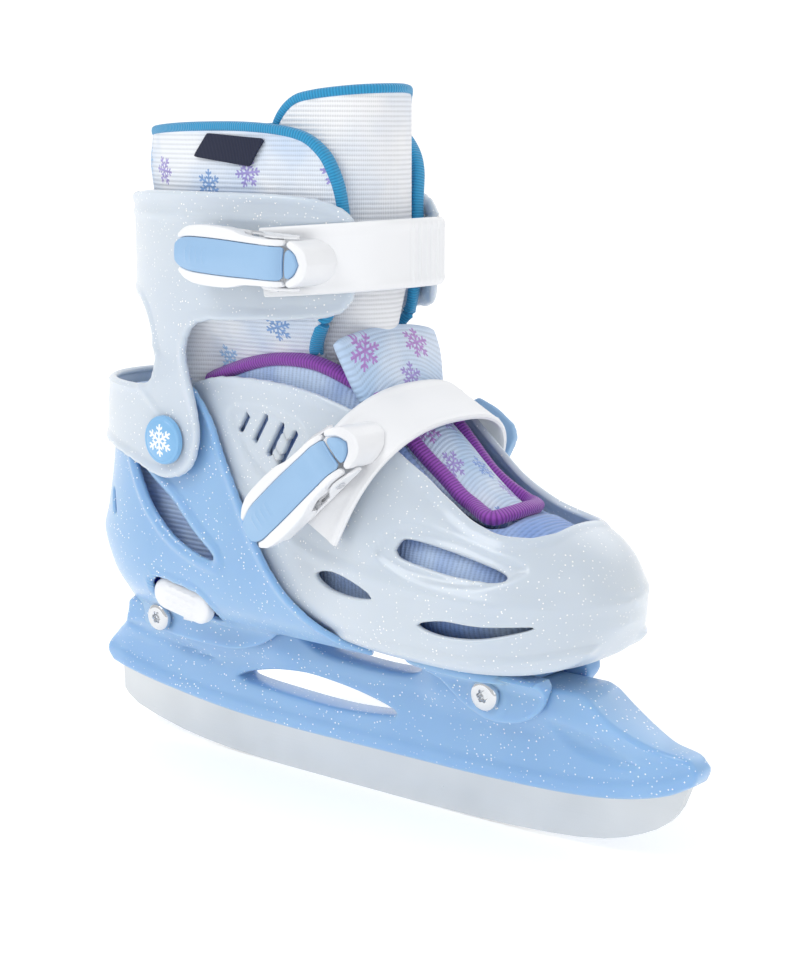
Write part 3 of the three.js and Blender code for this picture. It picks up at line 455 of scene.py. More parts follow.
def glitterPlastic(name, base, deep, edge, values, speckGap):
    # translucent plastic moulded with silver flakes: milky depth, bright points, and painted sheen that pales the
    # colour where the surface turns away from view
    material, tree, shader = newMaterial(name, values)
    spot = add(tree, "TexCoord").outputs["Object"]
    cloud = add(tree, "TexNoise", links={"Vector": spot, "Scale": 22.0, "Detail": 3.0}).outputs[0]
    # painted sheen: the colour is mixed towards the edge colour as the surface turns away from view
    rim = maths(tree, "MULTIPLY", add(tree, "LayerWeight", links={"Blend": 0.25}).outputs["Facing"], 0.55)
    cloudAndSheen = mixed(tree, rim, mixed(tree, cloud, base, deep), edge)
    # flakes are about 0.4 mm across in life; drawn at 0.6 so that they show
    cells = add(tree, "TexVoronoi", {"feature": "F1"}, {"Vector": spot, "Scale": 1 / (speckGap * mm)})
    near = maths(tree, "LESS_THAN", cells.outputs["Distance"], 0.2)
    lot = add(tree, "SeparateColor", links={0: cells.outputs["Color"]}).outputs[0]
    patch = add(tree, "TexNoise", links={"Vector": spot, "Scale": 60.0}).outputs[0]
    dense = add(tree, "MapRange", links={0: patch, 1: 0.35, 2: 0.6, 3: 0.25, 4: 1.0}).outputs[0]
    flake = maths(tree, "MULTIPLY", maths(tree, "MULTIPLY", near, maths(tree, "GREATER_THAN", lot, 0.5)), dense)
    ripple = add(tree, "TexNoise", links={"Vector": spot, "Scale": 180.0, "Detail": 2.0}).outputs[0]
    unevenGloss(tree, shader, ripple, values["Roughness"] * 0.85, values["Roughness"] * 1.2)
    surfaced(tree, shader, mixed(tree, flake, cloudAndSheen, "#ffffff"), ripple, 0.12, 0.0003)
    return material


def snowflake(tree, x, y, size, line):
    # 1 on a six-armed snowflake round the origin of x and y, 0 off it. Each sixth is folded onto one arm, and
    # the arm carries two side branches at 60 degrees
    step = partial(maths, tree)
    angle = step("ARCTAN2", y, x)
    radius = step("SQRT", step("ADD", step("MULTIPLY", x, x), step("MULTIPLY", y, y)))
    fold = step("ABSOLUTE", step("PINGPONG", step("ADD", angle, 4 * math.pi), math.pi / 6))
    px = step("MULTIPLY", radius, step("COSINE", fold))
    py = step("MULTIPLY", radius, step("SINE", fold))
    rise = step("MULTIPLY", py, 0.5)
    branches = [step("ABSOLUTE", step("SUBTRACT", step("MULTIPLY", step("SUBTRACT", px, size * at), 0.866), rise))
                for at in (0.36, 0.66)]
    nearest = step("MINIMUM", py, step("MINIMUM", *branches))
    inArm = step("MULTIPLY", step("LESS_THAN", py, size * 0.25), step("LESS_THAN", px, size))
    return step("MULTIPLY", step("LESS_THAN", nearest, line), inArm)


def knit(name, ground, shade, prints, values, ribGap, flakeGap, flakeSize, tie):
    # ribbed polyester knit over foam: ribs across, fine wales along, a tie-dyed ground, printed snowflakes and painted
    # shade in the rib valleys
    material, tree, shader = newMaterial(name, values)
    uv = add(tree, "UVMap", {"uv_map": "cloth"}).outputs[0]
    axes = add(tree, "SeparateXYZ", links={0: uv})
    cloud = add(tree, "TexNoise", links={"Vector": uv, "Scale": 30.0, "Detail": 3.0}).outputs[0]
    dyed = add(tree, "MapRange", links={0: cloud, 1: 0.5 - tie, 2: 0.5 + 0.2}).outputs[0]
    scaled = add(tree, "VectorMath", {"operation": "SCALE"}, {0: uv, "Scale": 1 / (flakeGap * mm)}).outputs[0]
    cells = add(tree, "TexVoronoi", {"voronoi_dimensions": "2D"}, {"Vector": scaled, "Scale": 1.0, "Randomness": 0.55})
    offset = add(tree, "VectorMath", {"operation": "SUBTRACT"}, {0: scaled, 1: cells.outputs["Position"]}).outputs[0]
    turned = add(tree, "VectorRotate", {"rotation_type": "Z_AXIS"},
                 {"Vector": offset, "Angle": maths(tree, "MULTIPLY", cells.outputs["Color"], 2.0)}).outputs[0]
    local = add(tree, "SeparateXYZ", links={0: turned})
    flake = snowflake(tree, local.outputs[0], local.outputs[1], flakeSize / flakeGap, 0.07 * flakeSize / flakeGap)
    pick = add(tree, "SeparateColor", links={0: cells.outputs["Color"]}).outputs[1]
    inks = add(tree, "ValToRGB", {}, {0: pick})
    inks.color_ramp.interpolation = "CONSTANT"
    for place, ink in zip((0.0, 0.4, 0.7), prints):
        spot = inks.color_ramp.elements[0] if place == 0 else inks.color_ramp.elements.new(place)
        spot.position, spot.color = place, hexColour(ink)
    inks.color_ramp.elements[-1].color = hexColour(prints[2])
    printed = mixed(tree, maths(tree, "MULTIPLY", flake, 0.8), mixed(tree, dyed, ground, shade), inks.outputs[0])
    # ribs are 1.2 mm apart in life; ribGap draws them as coarse as they need to be to show
    height = maths(tree, "MULTIPLY_ADD", waves(tree, axes.outputs[0], 0.8), 0.35, waves(tree, axes.outputs[1], ribGap))
    # painted shade: the colour is darkened down to 0.8 of itself in the valleys between the ribs
    valleyShade = add(tree, "MapRange", links={0: height, 1: -1.2, 2: 0.2, 3: 0.8, 4: 1.0}).outputs[0]
    valleyShadedColour = add(tree, "VectorMath", {"operation": "SCALE"}, {0: printed, "Scale": valleyShade}).outputs[0]
    surfaced(tree, shader, valleyShadedColour, height, 0.5, 0.00025)
    return material


def tape(name, base, dark, values, ribGap):
    # woven binding: ribs across its run, and painted shade that darkens the colour between them
    material, tree, shader = newMaterial(name, values)
    uv = add(tree, "UVMap", {"uv_map": "cloth"}).outputs[0]
    rib = waves(tree, add(tree, "SeparateXYZ", links={0: uv}).outputs[0], ribGap)
    share = add(tree, "MapRange", links={0: rib, 1: -1.0, 2: 0.4}).outputs[0]
    surfaced(tree, shader, mixed(tree, share, dark, base), rib, 0.55, 0.0002)
    return material


moulded = {"Roughness": 0.3, "IOR": 1.5, "Subsurface Scale": 0.6, "Coat Weight": 0.3, "Coat Roughness": 0.12}
knitted = {"Roughness": 0.85, "Sheen Weight": 0.25, "Sheen Roughness": 0.4}
milkShell = glitterPlastic(  # soft PVC, injection moulded: cloudy white with a blue cast, glossy, glittering
    "milkyGlitterPlastic", "#cdd6df", "#bcc9d8", "#edf1f5",
    {**moulded, "Subsurface Weight": 0.35, "Subsurface Radius": (0.006, 0.007, 0.009)}, 1.5)
iceShell = glitterPlastic(  # the same plastic tinted ice blue, deeper where it is thick
    "iceBlueGlitterPlastic", "#93bce2", "#74a3d6", "#bdd8f1",
    {**moulded, "Subsurface Weight": 0.3, "Subsurface Radius": (0.003, 0.005, 0.009)}, 1.5)
whiteNylon = paint(  # moulded nylon: opaque, satin, very slightly uneven
    "whiteNylon", "#f3f4f6", "#e9ebef",
    {"Roughness": 0.34, "IOR": 1.52, "Subsurface Weight": 0.1, "Subsurface Radius": (0.002, 0.002, 0.002)}, 0.5, 0.1)
blueNylon = paint(  # light blue moulded nylon, satin
    "lightBlueNylon", "#9cc0e2", "#8fb5db",
    {"Roughness": 0.36, "IOR": 1.52}, 0.5, 0.12)
bladeSteel = paint(  # stainless steel, ground along its length: fine streaks in the gloss
    "groundStainlessSteel", "#dcdfe1", "#c6cacd",
    {"Metallic": 1.0, "Roughness": 0.3}, 0.6, 0.25, (0.06, 1, 1))
brightPlate = paint(  # bright chrome plate: mirror gloss with a trace of handling
    "chromePlate", "#e2e4e7", "#d3d6da", {"Metallic": 1.0, "Roughness": 0.12}, 0.8, 0.05)
linerKnit = knit(  # white to light blue ribbed knit with blue and violet snowflakes
    "linerKnit", "#eef2f8", "#c5d8f1", ("#5f93d2", "#8f7fd0", "#86b8e6"),
    knitted, 1.7, 25, 5.6, 0.1)
footKnit = knit(  # the same knit dyed a stronger blue low down
    "footKnit", "#c3d8f4", "#4f7fd0", ("#6d55c0", "#8a5cc8", "#5a82d4"),
    knitted, 1.8, 24, 0, 0.12)
tongueKnit = knit(  # the tongue's white ribbed knit, printed only faintly
    "tongueKnit", "#f4f5f8", "#e3e9f3", ("#eef1f6", "#e6edf6", "#f1f3f8"),
    knitted, 1.7, 60, 0, 0.05)
vampKnit = knit(  # the lower tongue: pale blue knit with violet and magenta snowflakes
    "vampKnit", "#d9e5f6", "#9fc3ea", ("#9a80d0", "#b070c8", "#7898dc"),
    knitted, 1.7, 18, 5.8, 0.12)
# each tape's second colour is the painted shade between its ribs
cyanTape = tape("cyanBinding", "#2a9bce", "#1a82b4", {"Roughness": 0.8, "Sheen Weight": 0.3}, 1.0)
purpleTape = tape("purpleBinding", "#9447b4", "#6f2f8c", {"Roughness": 0.8, "Sheen Weight": 0.3}, 1.2)
navyTape = tape("navyLabelTape", "#16203f", "#0f1730", {"Roughness": 0.7}, 0.7)
insoleCloth = tape("insoleCloth", "#b9c6d8", "#a3b1c6", {"Roughness": 0.9}, 1.5)
print("materials made")


# The blade holder.
holder = {"rail": 6.0, "tower": 10.5, "edge": 1.8, "step": 1.5, "top": 58.3}
holderRing = np.vstack([
    curve([(141, 33), (128, 26.5), (103, 21), (66, 18.6), (16, 18), (-59, 18), (-107, 22), (-139, 27)], 2),
    curve([(-143, 31), (-141, 36), (-134, 42), (-127, 47), (-124.2, 53), (-124, holder["top"])], 2),
    [(-34, holder["top"])],
    curve([(-31, 55), (-22, 51), (0, 49.5), (18, 50), (27, 53), (30, holder["top"])], 2), [(98, holder["top"])],
    curve([(102, 56.5), (112, 49.5), (126, 43.5), (138, 41.5), (142, 37.5)], 2)])
holderWindow = curve([(14, 33.5), (-4, 38.5), (-33, 41), (-52, 38.5), (-66, 33), (-40, 30.8), (-10, 30.4)], 1.5, True)
fluteRing = curve([(84, 46), (98, 44), (113, 39), (122, 34.5), (104, 34), (90, 38)], 1.5, True)
backFluteRing = curve([(-126, 47), (-118, 42), (-96, 38), (-72, 37), (-92, 43), (-112, 48)], 1.5, True)
railBottom = smooth([(-143, 29), (-107, 22), (-59, 18), (16, 18), (66, 18.6), (103, 21), (128, 26.5), (142, 33)])


def holderHalf(x, z):
    # half the holder's thickness: a slim rail with a bead along the blade, swelling into two towers
    towers = 1 - ramp(x, -44, -26) + ramp(x, 22, 38)
    swell = (holder["tower"] - holder["rail"]) * ramp(z, 37, 50) * towers
    bead = 0.9 * (1 - ramp(z - railBottom(x), 4.5, 7))
    slim = 1.4 * (ramp(x, 118, 142) + 1 - ramp(x, -143, -128))
    spot = np.stack([x, z], 1)
    flutes = sum(1.5 * ramp(-awayFrom(ring)(spot), -0.6, 2.6) for ring in (fluteRing, backFluteRing))
    beam = 0.9 * ramp(z, 43, 47) * (1 - towers)
    return holder["rail"] + swell + bead + beam - slim - flutes


addPiece("bladeHolder", slab(holderRing, lambda x, z: -holderHalf(x, z), holderHalf, holder["edge"], holder["step"],
                             sideways, [holderWindow]), "root", iceShell, ["blade_holder"])

# The heel shell, its lugs and the sole.
heel = {"centre": -82, "wall": 2.6, "lugInner": 10.8, "lugOuter": 15.0, "soleLow": 58.6, "soleHigh": 62,
        "step": 1.35, "low": 46.5, "high": 152.5, "front": 22}
heelBack = smooth([(46, -127), (58.6, -127.5), (66, -127), (75, -130.5), (86, -134.5), (90, -135), (98, -132),
                   (115, -128.2), (130, -126.2), (148, -125.6)])
heelHalf = smooth([(46, 15), (55.5, 15), (58.6, 17), (63, 23), (70, 29.6), (80, 33), (92, 33.8), (115, 33.2),
                   (132, 33.5), (148, 33.7)])
heelFlare = smooth([(46, 0), (56, 0), (62, 0.045), (100, 0.05), (128, 0.018), (150, 0.012)])
seamLine = [(-60, 152), (-51, 140), (-45, 127), (-34, 109), (-24, 94.5), (-13, 82), (-2, 73), (14, 62)]
heelSide = np.vstack([[(-150, 138), (-118, 142), (-95, 148)], curve(seamLine), [(22, 58.4), (-30, 58.4)],
                      curve([(-36, 56.5), (-42, 53.5), (-50, 50), (-62, 47.3), (-80, 47), (-104, 48), (-122, 49.5)]),
                      [(-131, 53), (-150, 56)]])
lensRing = curve([(-93.5, 122.5), (-83.5, 115), (-72, 107.5), (-61, 98), (-49, 89), (-57, 89.5), (-72, 95.5),
                  (-84.5, 107)], 1.2, True)
buttonAt = {"x": -72, "z": 67.9, "turn": -0.18}
levels = np.arange(heel["low"], heel["high"], heel["step"])
rings = []
for z in levels:
    # one side of the ring: straight from the front to the heel's middle, then a quarter oval to the back
    depth = heel["centre"] - heelBack(z)
    turn = np.linspace(0, math.pi / 2, 40)[1:]
    straight = np.linspace(heel["front"], heel["centre"], 60)
    half = heelHalf(z) + heelFlare(z) * (straight + 100)
    side = np.vstack([np.stack([straight, half], 1),
                      np.stack([heel["centre"] - depth * np.sin(turn), half[-1] * np.cos(turn)], 1)])
    whole = np.vstack([side * (1, -1), side[-2::-1]])
    rings.append(evenly(whole, np.linalg.norm(np.diff(whole, axis=0), axis=1).sum() / 250))
heelGrid = np.stack([np.column_stack([ring, np.full(len(ring), z)]) for ring, z in zip(rings, levels)])
heelSkin = outwards(grid(heelGrid))
heelSkin = facing(heelSkin, len(heelSkin.points) // 2, (-1, 0, 0))
spot, y = heelSkin.points[:, [0, 2]], heelSkin.points[:, 1]
toLens, toSide = awayFrom(lensRing)(spot), awayFrom(heelSide)(spot)
pocket = awayFrom(slotRing(buttonAt["x"], buttonAt["z"], 31.5, 14, buttonAt["turn"]))(spot)
slit = awayFrom(slotRing(-111.5, 102, 10, 2.6, -1.2))(spot)
raised = 1.0 * (1 - ramp(np.abs(toLens - 3.2), 0.5, 2.6)) + 0.8 * (1 - ramp(np.abs(pocket - 1.8), 0.3, 1.8)) * (y < 0)
raised += 0.7 * (1 - ramp(-toSide, 1.0, 3.4)) * (spot[:, 1] > 64)
heelSkin = heelSkin.pushed(raised)
edge = 1.1  # how far a free edge is rounded
gaps = [edge - toLens, toSide + edge, np.where(y < 0, edge - pocket, -9), edge - slit]
heelShell = shell(cutAway(heelSkin, np.max(gaps, 0)), heel["wall"], edge)
soleSide = [(-122, 6), (-114, 12), (-100, 14), (-60, 16), (-38, 15), (-26, 9), (-10, 7), (10, 7), (22, 10), (32, 20),
            (60, 23), (72, 20), (79, 11)]
soleRing = np.vstack([curve([(x, -y) for x, y in soleSide]), curve(soleSide[::-1])])
sole = slab(soleRing, heel["soleLow"], heel["soleHigh"], 1.2, 1.8, upwards)
boltFront, boltRear = (63, 52.5), (-99, 54.5)  # x and z of the two bolts
lugRing = np.vstack([[(24, 61.8), (34, 57.5)],
                     curve([(42, 53), (52, 46.3), (63, 42.8), (75, 44), (84, 49.5), (88, 58)]), [(88, 61.8)]])


def lugFace(x, z):
    # the front lug's face: a raised ring under the bolt's head, and a flare out to the sole above it
    away = np.hypot(x - boltFront[0], z - boltFront[1])
    return heel["lugOuter"] - 0.6 + 0.6 * (1 - ramp(away, 7.6, 9)) + 8.5 * np.clip((z - 54.5) / 7.3, 0, 1) ** 1.5


lugs = [slab(lugRing, heel["lugInner"], lugFace, 1.4, 1.2, place)
        for place in (sideways, lambda p: sideways(p) * (1, -1, 1))]
lugs[1].tris = lugs[1].tris[:, ::-1]
addPiece("heelShell", both(heelShell, sole, *lugs), "root", iceShell, ["heel_shell"])
print("holder and heel shell made")

# Foot-shaped bodies: the toe shell and the liner.
toe = {"wall": 2.6, "tip": 109.5, "rear": -80, "ball": 55, "stations": 172, "around": 262, "edge": 0.9}
lean = smooth([(-60, 0), (20, 0.5), (60, 3), (110, 4)])
toeSides = smooth([(-82, 30), (-57, 31), (-30, 32.6), (0, 35.6), (30, 39.8), (55, 41.3)])
toeTop = smooth([(-85, 225), (-20, 212), (0, 190), (13, 171), (24, 157), (34, 145), (48, 130), (62, 121.5), (75, 118),
                 (88, 113.5), (97, 108.5), (104, 101), (109.5, 90)])
toeBottom = smooth([(-82, 62.4), (50, 62.4), (72, 62.7), (90, 64.8), (102, 70), (109.5, 82)])
toeWaist = smooth([(-82, 84), (0, 82), (60, 79), (109.5, 86)])
toeCrown = smooth([(-82, 2.7), (0, 2.6), (40, 2.3), (110, 2.2)])
toeBase = smooth([(-82, 2.2), (-10, 2.2), (25, 2.8), (60, 3.2), (110, 3.2)])


def toeHalf(x):
    # half the width: smooth to the ball of the foot, then a round toe
    t = np.clip((x - toe["ball"]) / (toe["tip"] - toe["ball"]), 0, 1)
    return np.where(x <= toe["ball"], toeSides(x), toeSides(toe["ball"]) * np.sqrt(1 - t ** 2.3))


def footGrid(stations, half, bottom, waist, top, crown, base, around):
    # at each station a closed superellipse, fuller above or below its waist, with points evenly round it
    turn = np.linspace(0, 2 * math.pi, 600, endpoint=False) + math.pi / 2
    c, s = np.cos(turn), np.sin(turn)
    rows = []
    for x in stations:
        power = np.where(s > 0, 2 / crown(x), 2 / base(x))
        reach = np.where(s > 0, top(x) - waist(x), waist(x) - bottom(x))
        ring = np.stack([lean(x) + half(x) * np.sign(c) * np.abs(c) ** power,
                         waist(x) + reach * np.sign(s) * np.abs(s) ** power], 1)
        length = np.linalg.norm(np.diff(np.vstack([ring, ring[:1]]), axis=0), axis=1).sum()
        even = evenly(ring, length / around, closed=True)
        rows.append(np.column_stack([np.full(around, x), even]))
    return np.stack(rows)


span = np.linspace(0, 1, toe["stations"])
toeStations = toe["rear"] + (toe["tip"] - 0.12 - toe["rear"]) * np.sin(math.pi / 2 * span) ** 0.92
toeGrid = footGrid(toeStations, toeHalf, toeBottom, toeWaist, toeTop, toeCrown, toeBase, toe["around"])
toeSkin = grid(toeGrid, wrap=True, flip=True)
toeSkin = capped(toeSkin, np.arange(toe["around"]) + toe["around"] * (toe["stations"] - 1), flip=False)
toeRimLine = [(-64.7, 153.1), (-50.9, 156.2), (-34, 157), (-15.5, 156.2), (1.2, 153.3), (14.1, 149.1), (23, 143.5),
              (31.4, 136.6), (41.6, 128.8), (49, 122.9), (59.6, 116.4), (67.5, 113.4), (74.7, 111.9), (83, 111.5)]
toeRim = np.vstack([[(-120, 152)], curve(toeRimLine), [(87.5, 112.6), (91, 126), (93, 260), (-120, 260)]])
toeRear = np.vstack([[(-120, 160), (-76, 160)], curve([(-70, 146), (-64, 132), (-60, 121), (-56, 108), (-50, 96),
                                                     (-46, 86), (-50, 74)]), [(-56, 50), (-120, 50)]])
ventWidth, ventTurn = 2.4, 1.02
slots = [slotRing(x, z, length, ventWidth, ventTurn)
         for x, z, length in ((-38.5, 140.5, 8.5), (-30, 139, 12.5), (-22, 136, 15), (-15.5, 133, 17))]
windows = [curve([(41.5, 108.6), (39, 106.5), (38.2, 103.2), (44, 101), (62, 98.6), (76, 98.4), (81, 99.6),
                  (77, 102.2), (64, 105.4), (50, 107.9)], 1.2, True),
           curve([(1, 90), (9, 92.2), (19, 90.8), (30, 86.5), (20, 85), (8, 86)], 1.2, True),
           curve([(50, 80), (60, 82.8), (74, 82.6), (92, 83.6), (76, 78.6), (60, 77.6)], 1.2, True)]
# two shallow recesses, round the vent slots and round the long side window
ventPanel = curve([(-45, 139), (-42, 145.5), (-24, 146.5), (-6, 141.5), (-10, 128), (-19, 120.5), (-32, 124.5)],
                  1.5, True)
windowPanel = curve([(30, 103), (38, 112.5), (54, 111.5), (70, 107.8), (87, 102.5), (76, 96), (60, 94.6), (42, 96.6)],
                    1.5, True)
spot, height = toeSkin.points[:, [0, 2]], toeSkin.points[:, 2]
lipTop = smooth([(-20, 64), (10, 69), (40, 70.5), (70, 71), (90, 73), (102, 75.5), (110, 77)])
lip = 1.7 * (1 - ramp(height - lipTop(spot[:, 0]), -1.2, 1.2)) * ramp(spot[:, 0], -20, 10)
lip *= ramp(height - toeBottom(spot[:, 0]), 0.6, 3.6)
toRim = awayFrom(toeRim)(spot)
panels = -1.1 * ramp(-awayFrom(ventPanel)(spot), -0.4, 1.6) - 1.3 * ramp(-awayFrom(windowPanel)(spot), -0.6, 2.2)
bead = 0.8 * (1 - ramp(toRim, 1.4, 4.2))
# a soft fold runs from behind the vents down to the side windows
fold = smooth([(-60, 128), (-40, 116), (-20, 104), (0, 97), (30, 93), (60, 91), (90, 90)])
crease = 0.8 * np.exp(-((height - fold(spot[:, 0])) / 2.6) ** 2) * (height > 76)
toeSkin = toeSkin.pushed(lip + panels + bead + crease)
edge = toe["edge"]
gaps = [edge - toRim, edge - awayFrom(toeRear)(spot)] + [edge - awayFrom(ring)(spot) for ring in slots + windows]
addPiece("toeShell", shell(cutAway(toeSkin, np.max(gaps, 0)), toe["wall"], edge), "toe", milkShell,
         ["toe_shell"])

liner = {"wall": 5.0, "heel": -123, "radius": 26.2, "tip": 100, "stations": 130, "around": 200}
linerSides = smooth([(-96, 26.2), (-60, 26.4), (-20, 28.2), (20, 31), (50, 34.8)])
linerBottom = smooth([(-123, 72), (-112, 68), (-100, 67.6), (60, 67.6), (80, 68), (95, 71), (100, 80)])
linerWaist = smooth([(-123, 95), (-90, 88), (0, 84), (60, 80), (100, 86)])


def linerHalf(x):
    # half the liner's width: round at the heel and at the toe
    t = np.clip((x - 50) / (liner["tip"] - 50), 0, 1)
    front = np.where(x <= 50, linerSides(x), linerSides(50) * np.sqrt(1 - t ** 2.3))
    middle = liner["heel"] + liner["radius"]
    back = liner["radius"] * np.sqrt(1 - np.clip((middle - x) / liner["radius"], 0, 1) ** 2)
    return np.where(x >= middle, front, back)


def linerTop(x):
    # the liner keeps a small gap under the toe shell's wall
    return toeTop(x + 4) - toe["wall"] - 1.6


span = np.linspace(0, 1, liner["stations"])
linerStations = liner["heel"] + 0.3 + (liner["tip"] - liner["heel"] - 0.6) * (0.5 - 0.5 * np.cos(math.pi * span))
footSkin = footGrid(linerStations, linerHalf, linerBottom, linerWaist, linerTop, toeCrown, lambda x: 2.2,
                    liner["around"])
turned = ramp(footSkin[..., :1], -58, -44)  # ribs lie level round the heel and stand upright along the foot
footUv = (footSkin[..., [2, 0]] * turned + footSkin[..., [0, 2]] * (1 - turned)) * mm
footSkin = grid(footSkin, wrap=True, uv=footUv, flip=True)
for row, flip in ((0, True), (liner["stations"] - 1, False)):
    footSkin = capped(footSkin, np.arange(liner["around"]) + liner["around"] * row, flip=flip)
vampLine = [(-61, 153), (-49, 157.5), (-34, 162), (-21, 163.5), (-8, 162.5), (4, 158), (14, 151.5), (24, 142),
            (32, 134), (40, 126.5), (48, 120), (56, 115.3), (63, 113)]
linerRim = np.vstack([[(-160, 145), (-90, 146.5), (-70, 149)], curve(vampLine), [(67.5, 113.5), (69, 125), (69, 260),
                                                                              (-160, 260)]])
toRim = awayFrom(linerRim)(footSkin.points[:, [0, 2]])
footOuter = cutAway(footSkin, 2 - toRim)
footPiece = walled(footOuter, footOuter.points - footOuter.normals() * liner["wall"], 2.0)
addPiece("linerFoot", footPiece, "root", footKnit, ["liner_foot"])
insole = {"rear": -113, "front": 90, "inset": 6.2, "low": 76.5, "high": 79.3, "crown": 0.8}
xs = np.linspace(insole["rear"], insole["front"], 90)
reach = np.maximum(linerHalf(xs) - insole["inset"], 1)
insoleRing = np.vstack([np.stack([xs, lean(xs) - reach], 1), np.stack([xs, lean(xs) + reach], 1)[::-1]])
insoleBody = slab(insoleRing, insole["low"], lambda a, b: insole["high"] + insole["crown"] * (b / 30) ** 2,
                  1.0, 1.6, upwards)
insolePad = addPiece("insolePad", insoleBody, "root", insoleCloth, ["insole"])
print("toe shell, liner foot and insole made")


def onLiner(x, z, side):
    # the point of the liner's surface at x and z, on one side
    reach = np.clip((z - linerWaist(x)) / (linerTop(x) - linerWaist(x)), 0, 0.9999)
    return lean(x) + side * linerHalf(x) * (1 - reach ** toeCrown(x)) ** (1 / toeCrown(x))


def bindingSection(wide, high, count=18):
    # a folded tape over an edge: a soft oval section
    turn = np.linspace(0, 2 * math.pi, count, endpoint=False)
    return np.stack([wide / 2 * np.sign(np.cos(turn)) * np.abs(np.cos(turn)) ** 0.7,
                     high / 2 * np.sign(np.sin(turn)) * np.abs(np.sin(turn)) ** 0.7], 1)


vampEdge = curve(vampLine[:-2] + [(57, 115)], 2)
near = np.stack([vampEdge[:, 0], onLiner(vampEdge[:, 0], vampEdge[:, 1], -1) + 0.9, vampEdge[:, 1] + 1.2], 1)
far = np.stack([vampEdge[:, 0], onLiner(vampEdge[:, 0], vampEdge[:, 1], 1) - 0.9, vampEdge[:, 1] + 1.2], 1)
front = np.array([(62.5, -13.5, 115.2), (65.6, -8, 115.8), (66.6, 1, 116.4), (65.4, 9, 116), (61.8, 15, 115.8)])
vampPath = curve(np.vstack([near[::3], front, far[::-3]]), 1.4)
vampUp = np.stack([0.5 + 0 * vampPath[:, 0], np.clip(vampPath[:, 1] / 40, -0.5, 0.5), 0 * vampPath[:, 0] + 1], 1)
addPiece("vampBinding", sweep(vampPath, bindingSection(5.4, 4.4), vampUp), "root", purpleTape,
         ["vamp_binding"])

# The cuff.
cuff = {"half": 38.4, "back": 61.5, "front": 67, "centre": -50, "power": 2.6, "rearPower": 2.1, "wall": 2.8,
        "step": 1.4, "low": 116, "high": 225.5, "reach": 176.8}


def legPath(half, back, front, centre, power, count=500):
    # plan outline round the leg from the middle of the back along the +Y side to the front, rounder behind
    turn = np.linspace(math.pi, 0, count)
    c, s = np.cos(turn), np.sin(turn)
    reach, bend = np.where(c > 0, front, back), 2 / np.where(c > 0, power, cuff["rearPower"])
    line = np.stack([centre + reach * np.sign(c) * np.abs(c) ** bend, half * np.abs(s) ** bend], 1)
    run = np.concatenate([[0], np.cumsum(np.linalg.norm(np.diff(line, axis=0), axis=1))])
    return lambda along: np.stack([np.interp(along, run, line[:, k]) for k in (0, 1)], -1)


ankleRing = {"centre": -72, "back": smooth([(116, -130.5), (132, -130), (148, -128.6), (158, -124)])}
upperPath = legPath(cuff["half"], cuff["back"], cuff["front"], cuff["centre"], cuff["power"])
along = np.linspace(-1, 1, 250)
levels = np.arange(cuff["low"], cuff["high"], cuff["step"])
rows = []
for z in levels:
    # low down an oval behind straight sides, above the shoulder a squarer outline round the leg
    reach = ankleRing["centre"] - ankleRing["back"](z)
    turn = np.linspace(0, math.pi / 2, 80)
    back = np.stack([ankleRing["centre"] - reach * np.cos(turn), cuff["half"] * np.sin(turn)], 1)
    line = np.vstack([back, [(40, cuff["half"])]])
    run = np.concatenate([[0], np.cumsum(np.linalg.norm(np.diff(line, axis=0), axis=1))])
    at = np.abs(along) * cuff["reach"]
    lower = np.stack([np.interp(at, run, line[:, k]) for k in (0, 1)], -1)
    share = ramp(z, 149, 165)
    plan = (1 - share) * lower + share * upperPath(at)
    rows.append(np.column_stack([plan[:, 0], plan[:, 1] * np.sign(along), np.full(len(along), z)]))
cuffSkin = facing(grid(np.stack(rows)), len(along) * 40 + len(along) // 2, (-1, 0, 0))
cuffSide = np.vstack([
    curve([(10.5, 212), (8.5, 218), (0, 222), (-12, 223.5), (-40, 224), (-85, 223.5), (-117, 219.5)]),
    [(-150, 215), (-150, 126)],
    curve([(-128, 127), (-106, 125), (-88, 121.5), (-76, 118), (-66, 118.4), (-57.5, 123.5), (-54, 134), (-55, 144),
           (-58.5, 156), (-60.8, 166), (-57, 174.5), (-48, 178.3), (-20, 180), (2, 182), (8.5, 186), (10.8, 194)])])
rearWindow = np.vstack([[(-150, 152)], curve([(-86, 152), (-80.5, 153.4), (-79, 157), (-81, 166), (-85.5, 176),
                                              (-92, 182), (-102, 184)]), [(-150, 184)]])
spot = cuffSkin.points[:, [0, 2]]
toSide = awayFrom(cuffSide)(spot)
toRear = awayFrom(rearWindow)(spot)
armSlit = awayFrom(slotRing(-103, 201, 13, 2.8, -1.15))(spot)
ridges = [smooth([(-118, 168), (-100, 165), (-84, 150), (-72, 140)]), smooth([(-110, 186), (-92, 178), (-74, 160)])]
raised = 0.9 * (1 - ramp(-toSide, 1.2, 3.6)) + 0.6 * (1 - ramp(np.abs(toRear - 2.4), 0.4, 2.0))
raised += 0.7 * np.exp(-((spot[:, 1] - 215.5) / 1.3) ** 2) * ramp(spot[:, 0], -112, -98)
raised += sum(0.7 * np.exp(-((spot[:, 1] - r(spot[:, 0])) / 1.6) ** 2) * (1 - ramp(spot[:, 0], -76, -68))
              for r in ridges)
cuffSkin = cuffSkin.pushed(raised)
edge = 1.3
gaps = [toSide + edge, edge - toRear, np.where(cuffSkin.points[:, 1] < 0, edge - armSlit, -9)]
addPiece("cuffShell", shell(cutAway(cuffSkin, np.max(gaps, 0)), cuff["wall"], edge), "cuff", milkShell,
         ["cuff"])
print("cuff made")

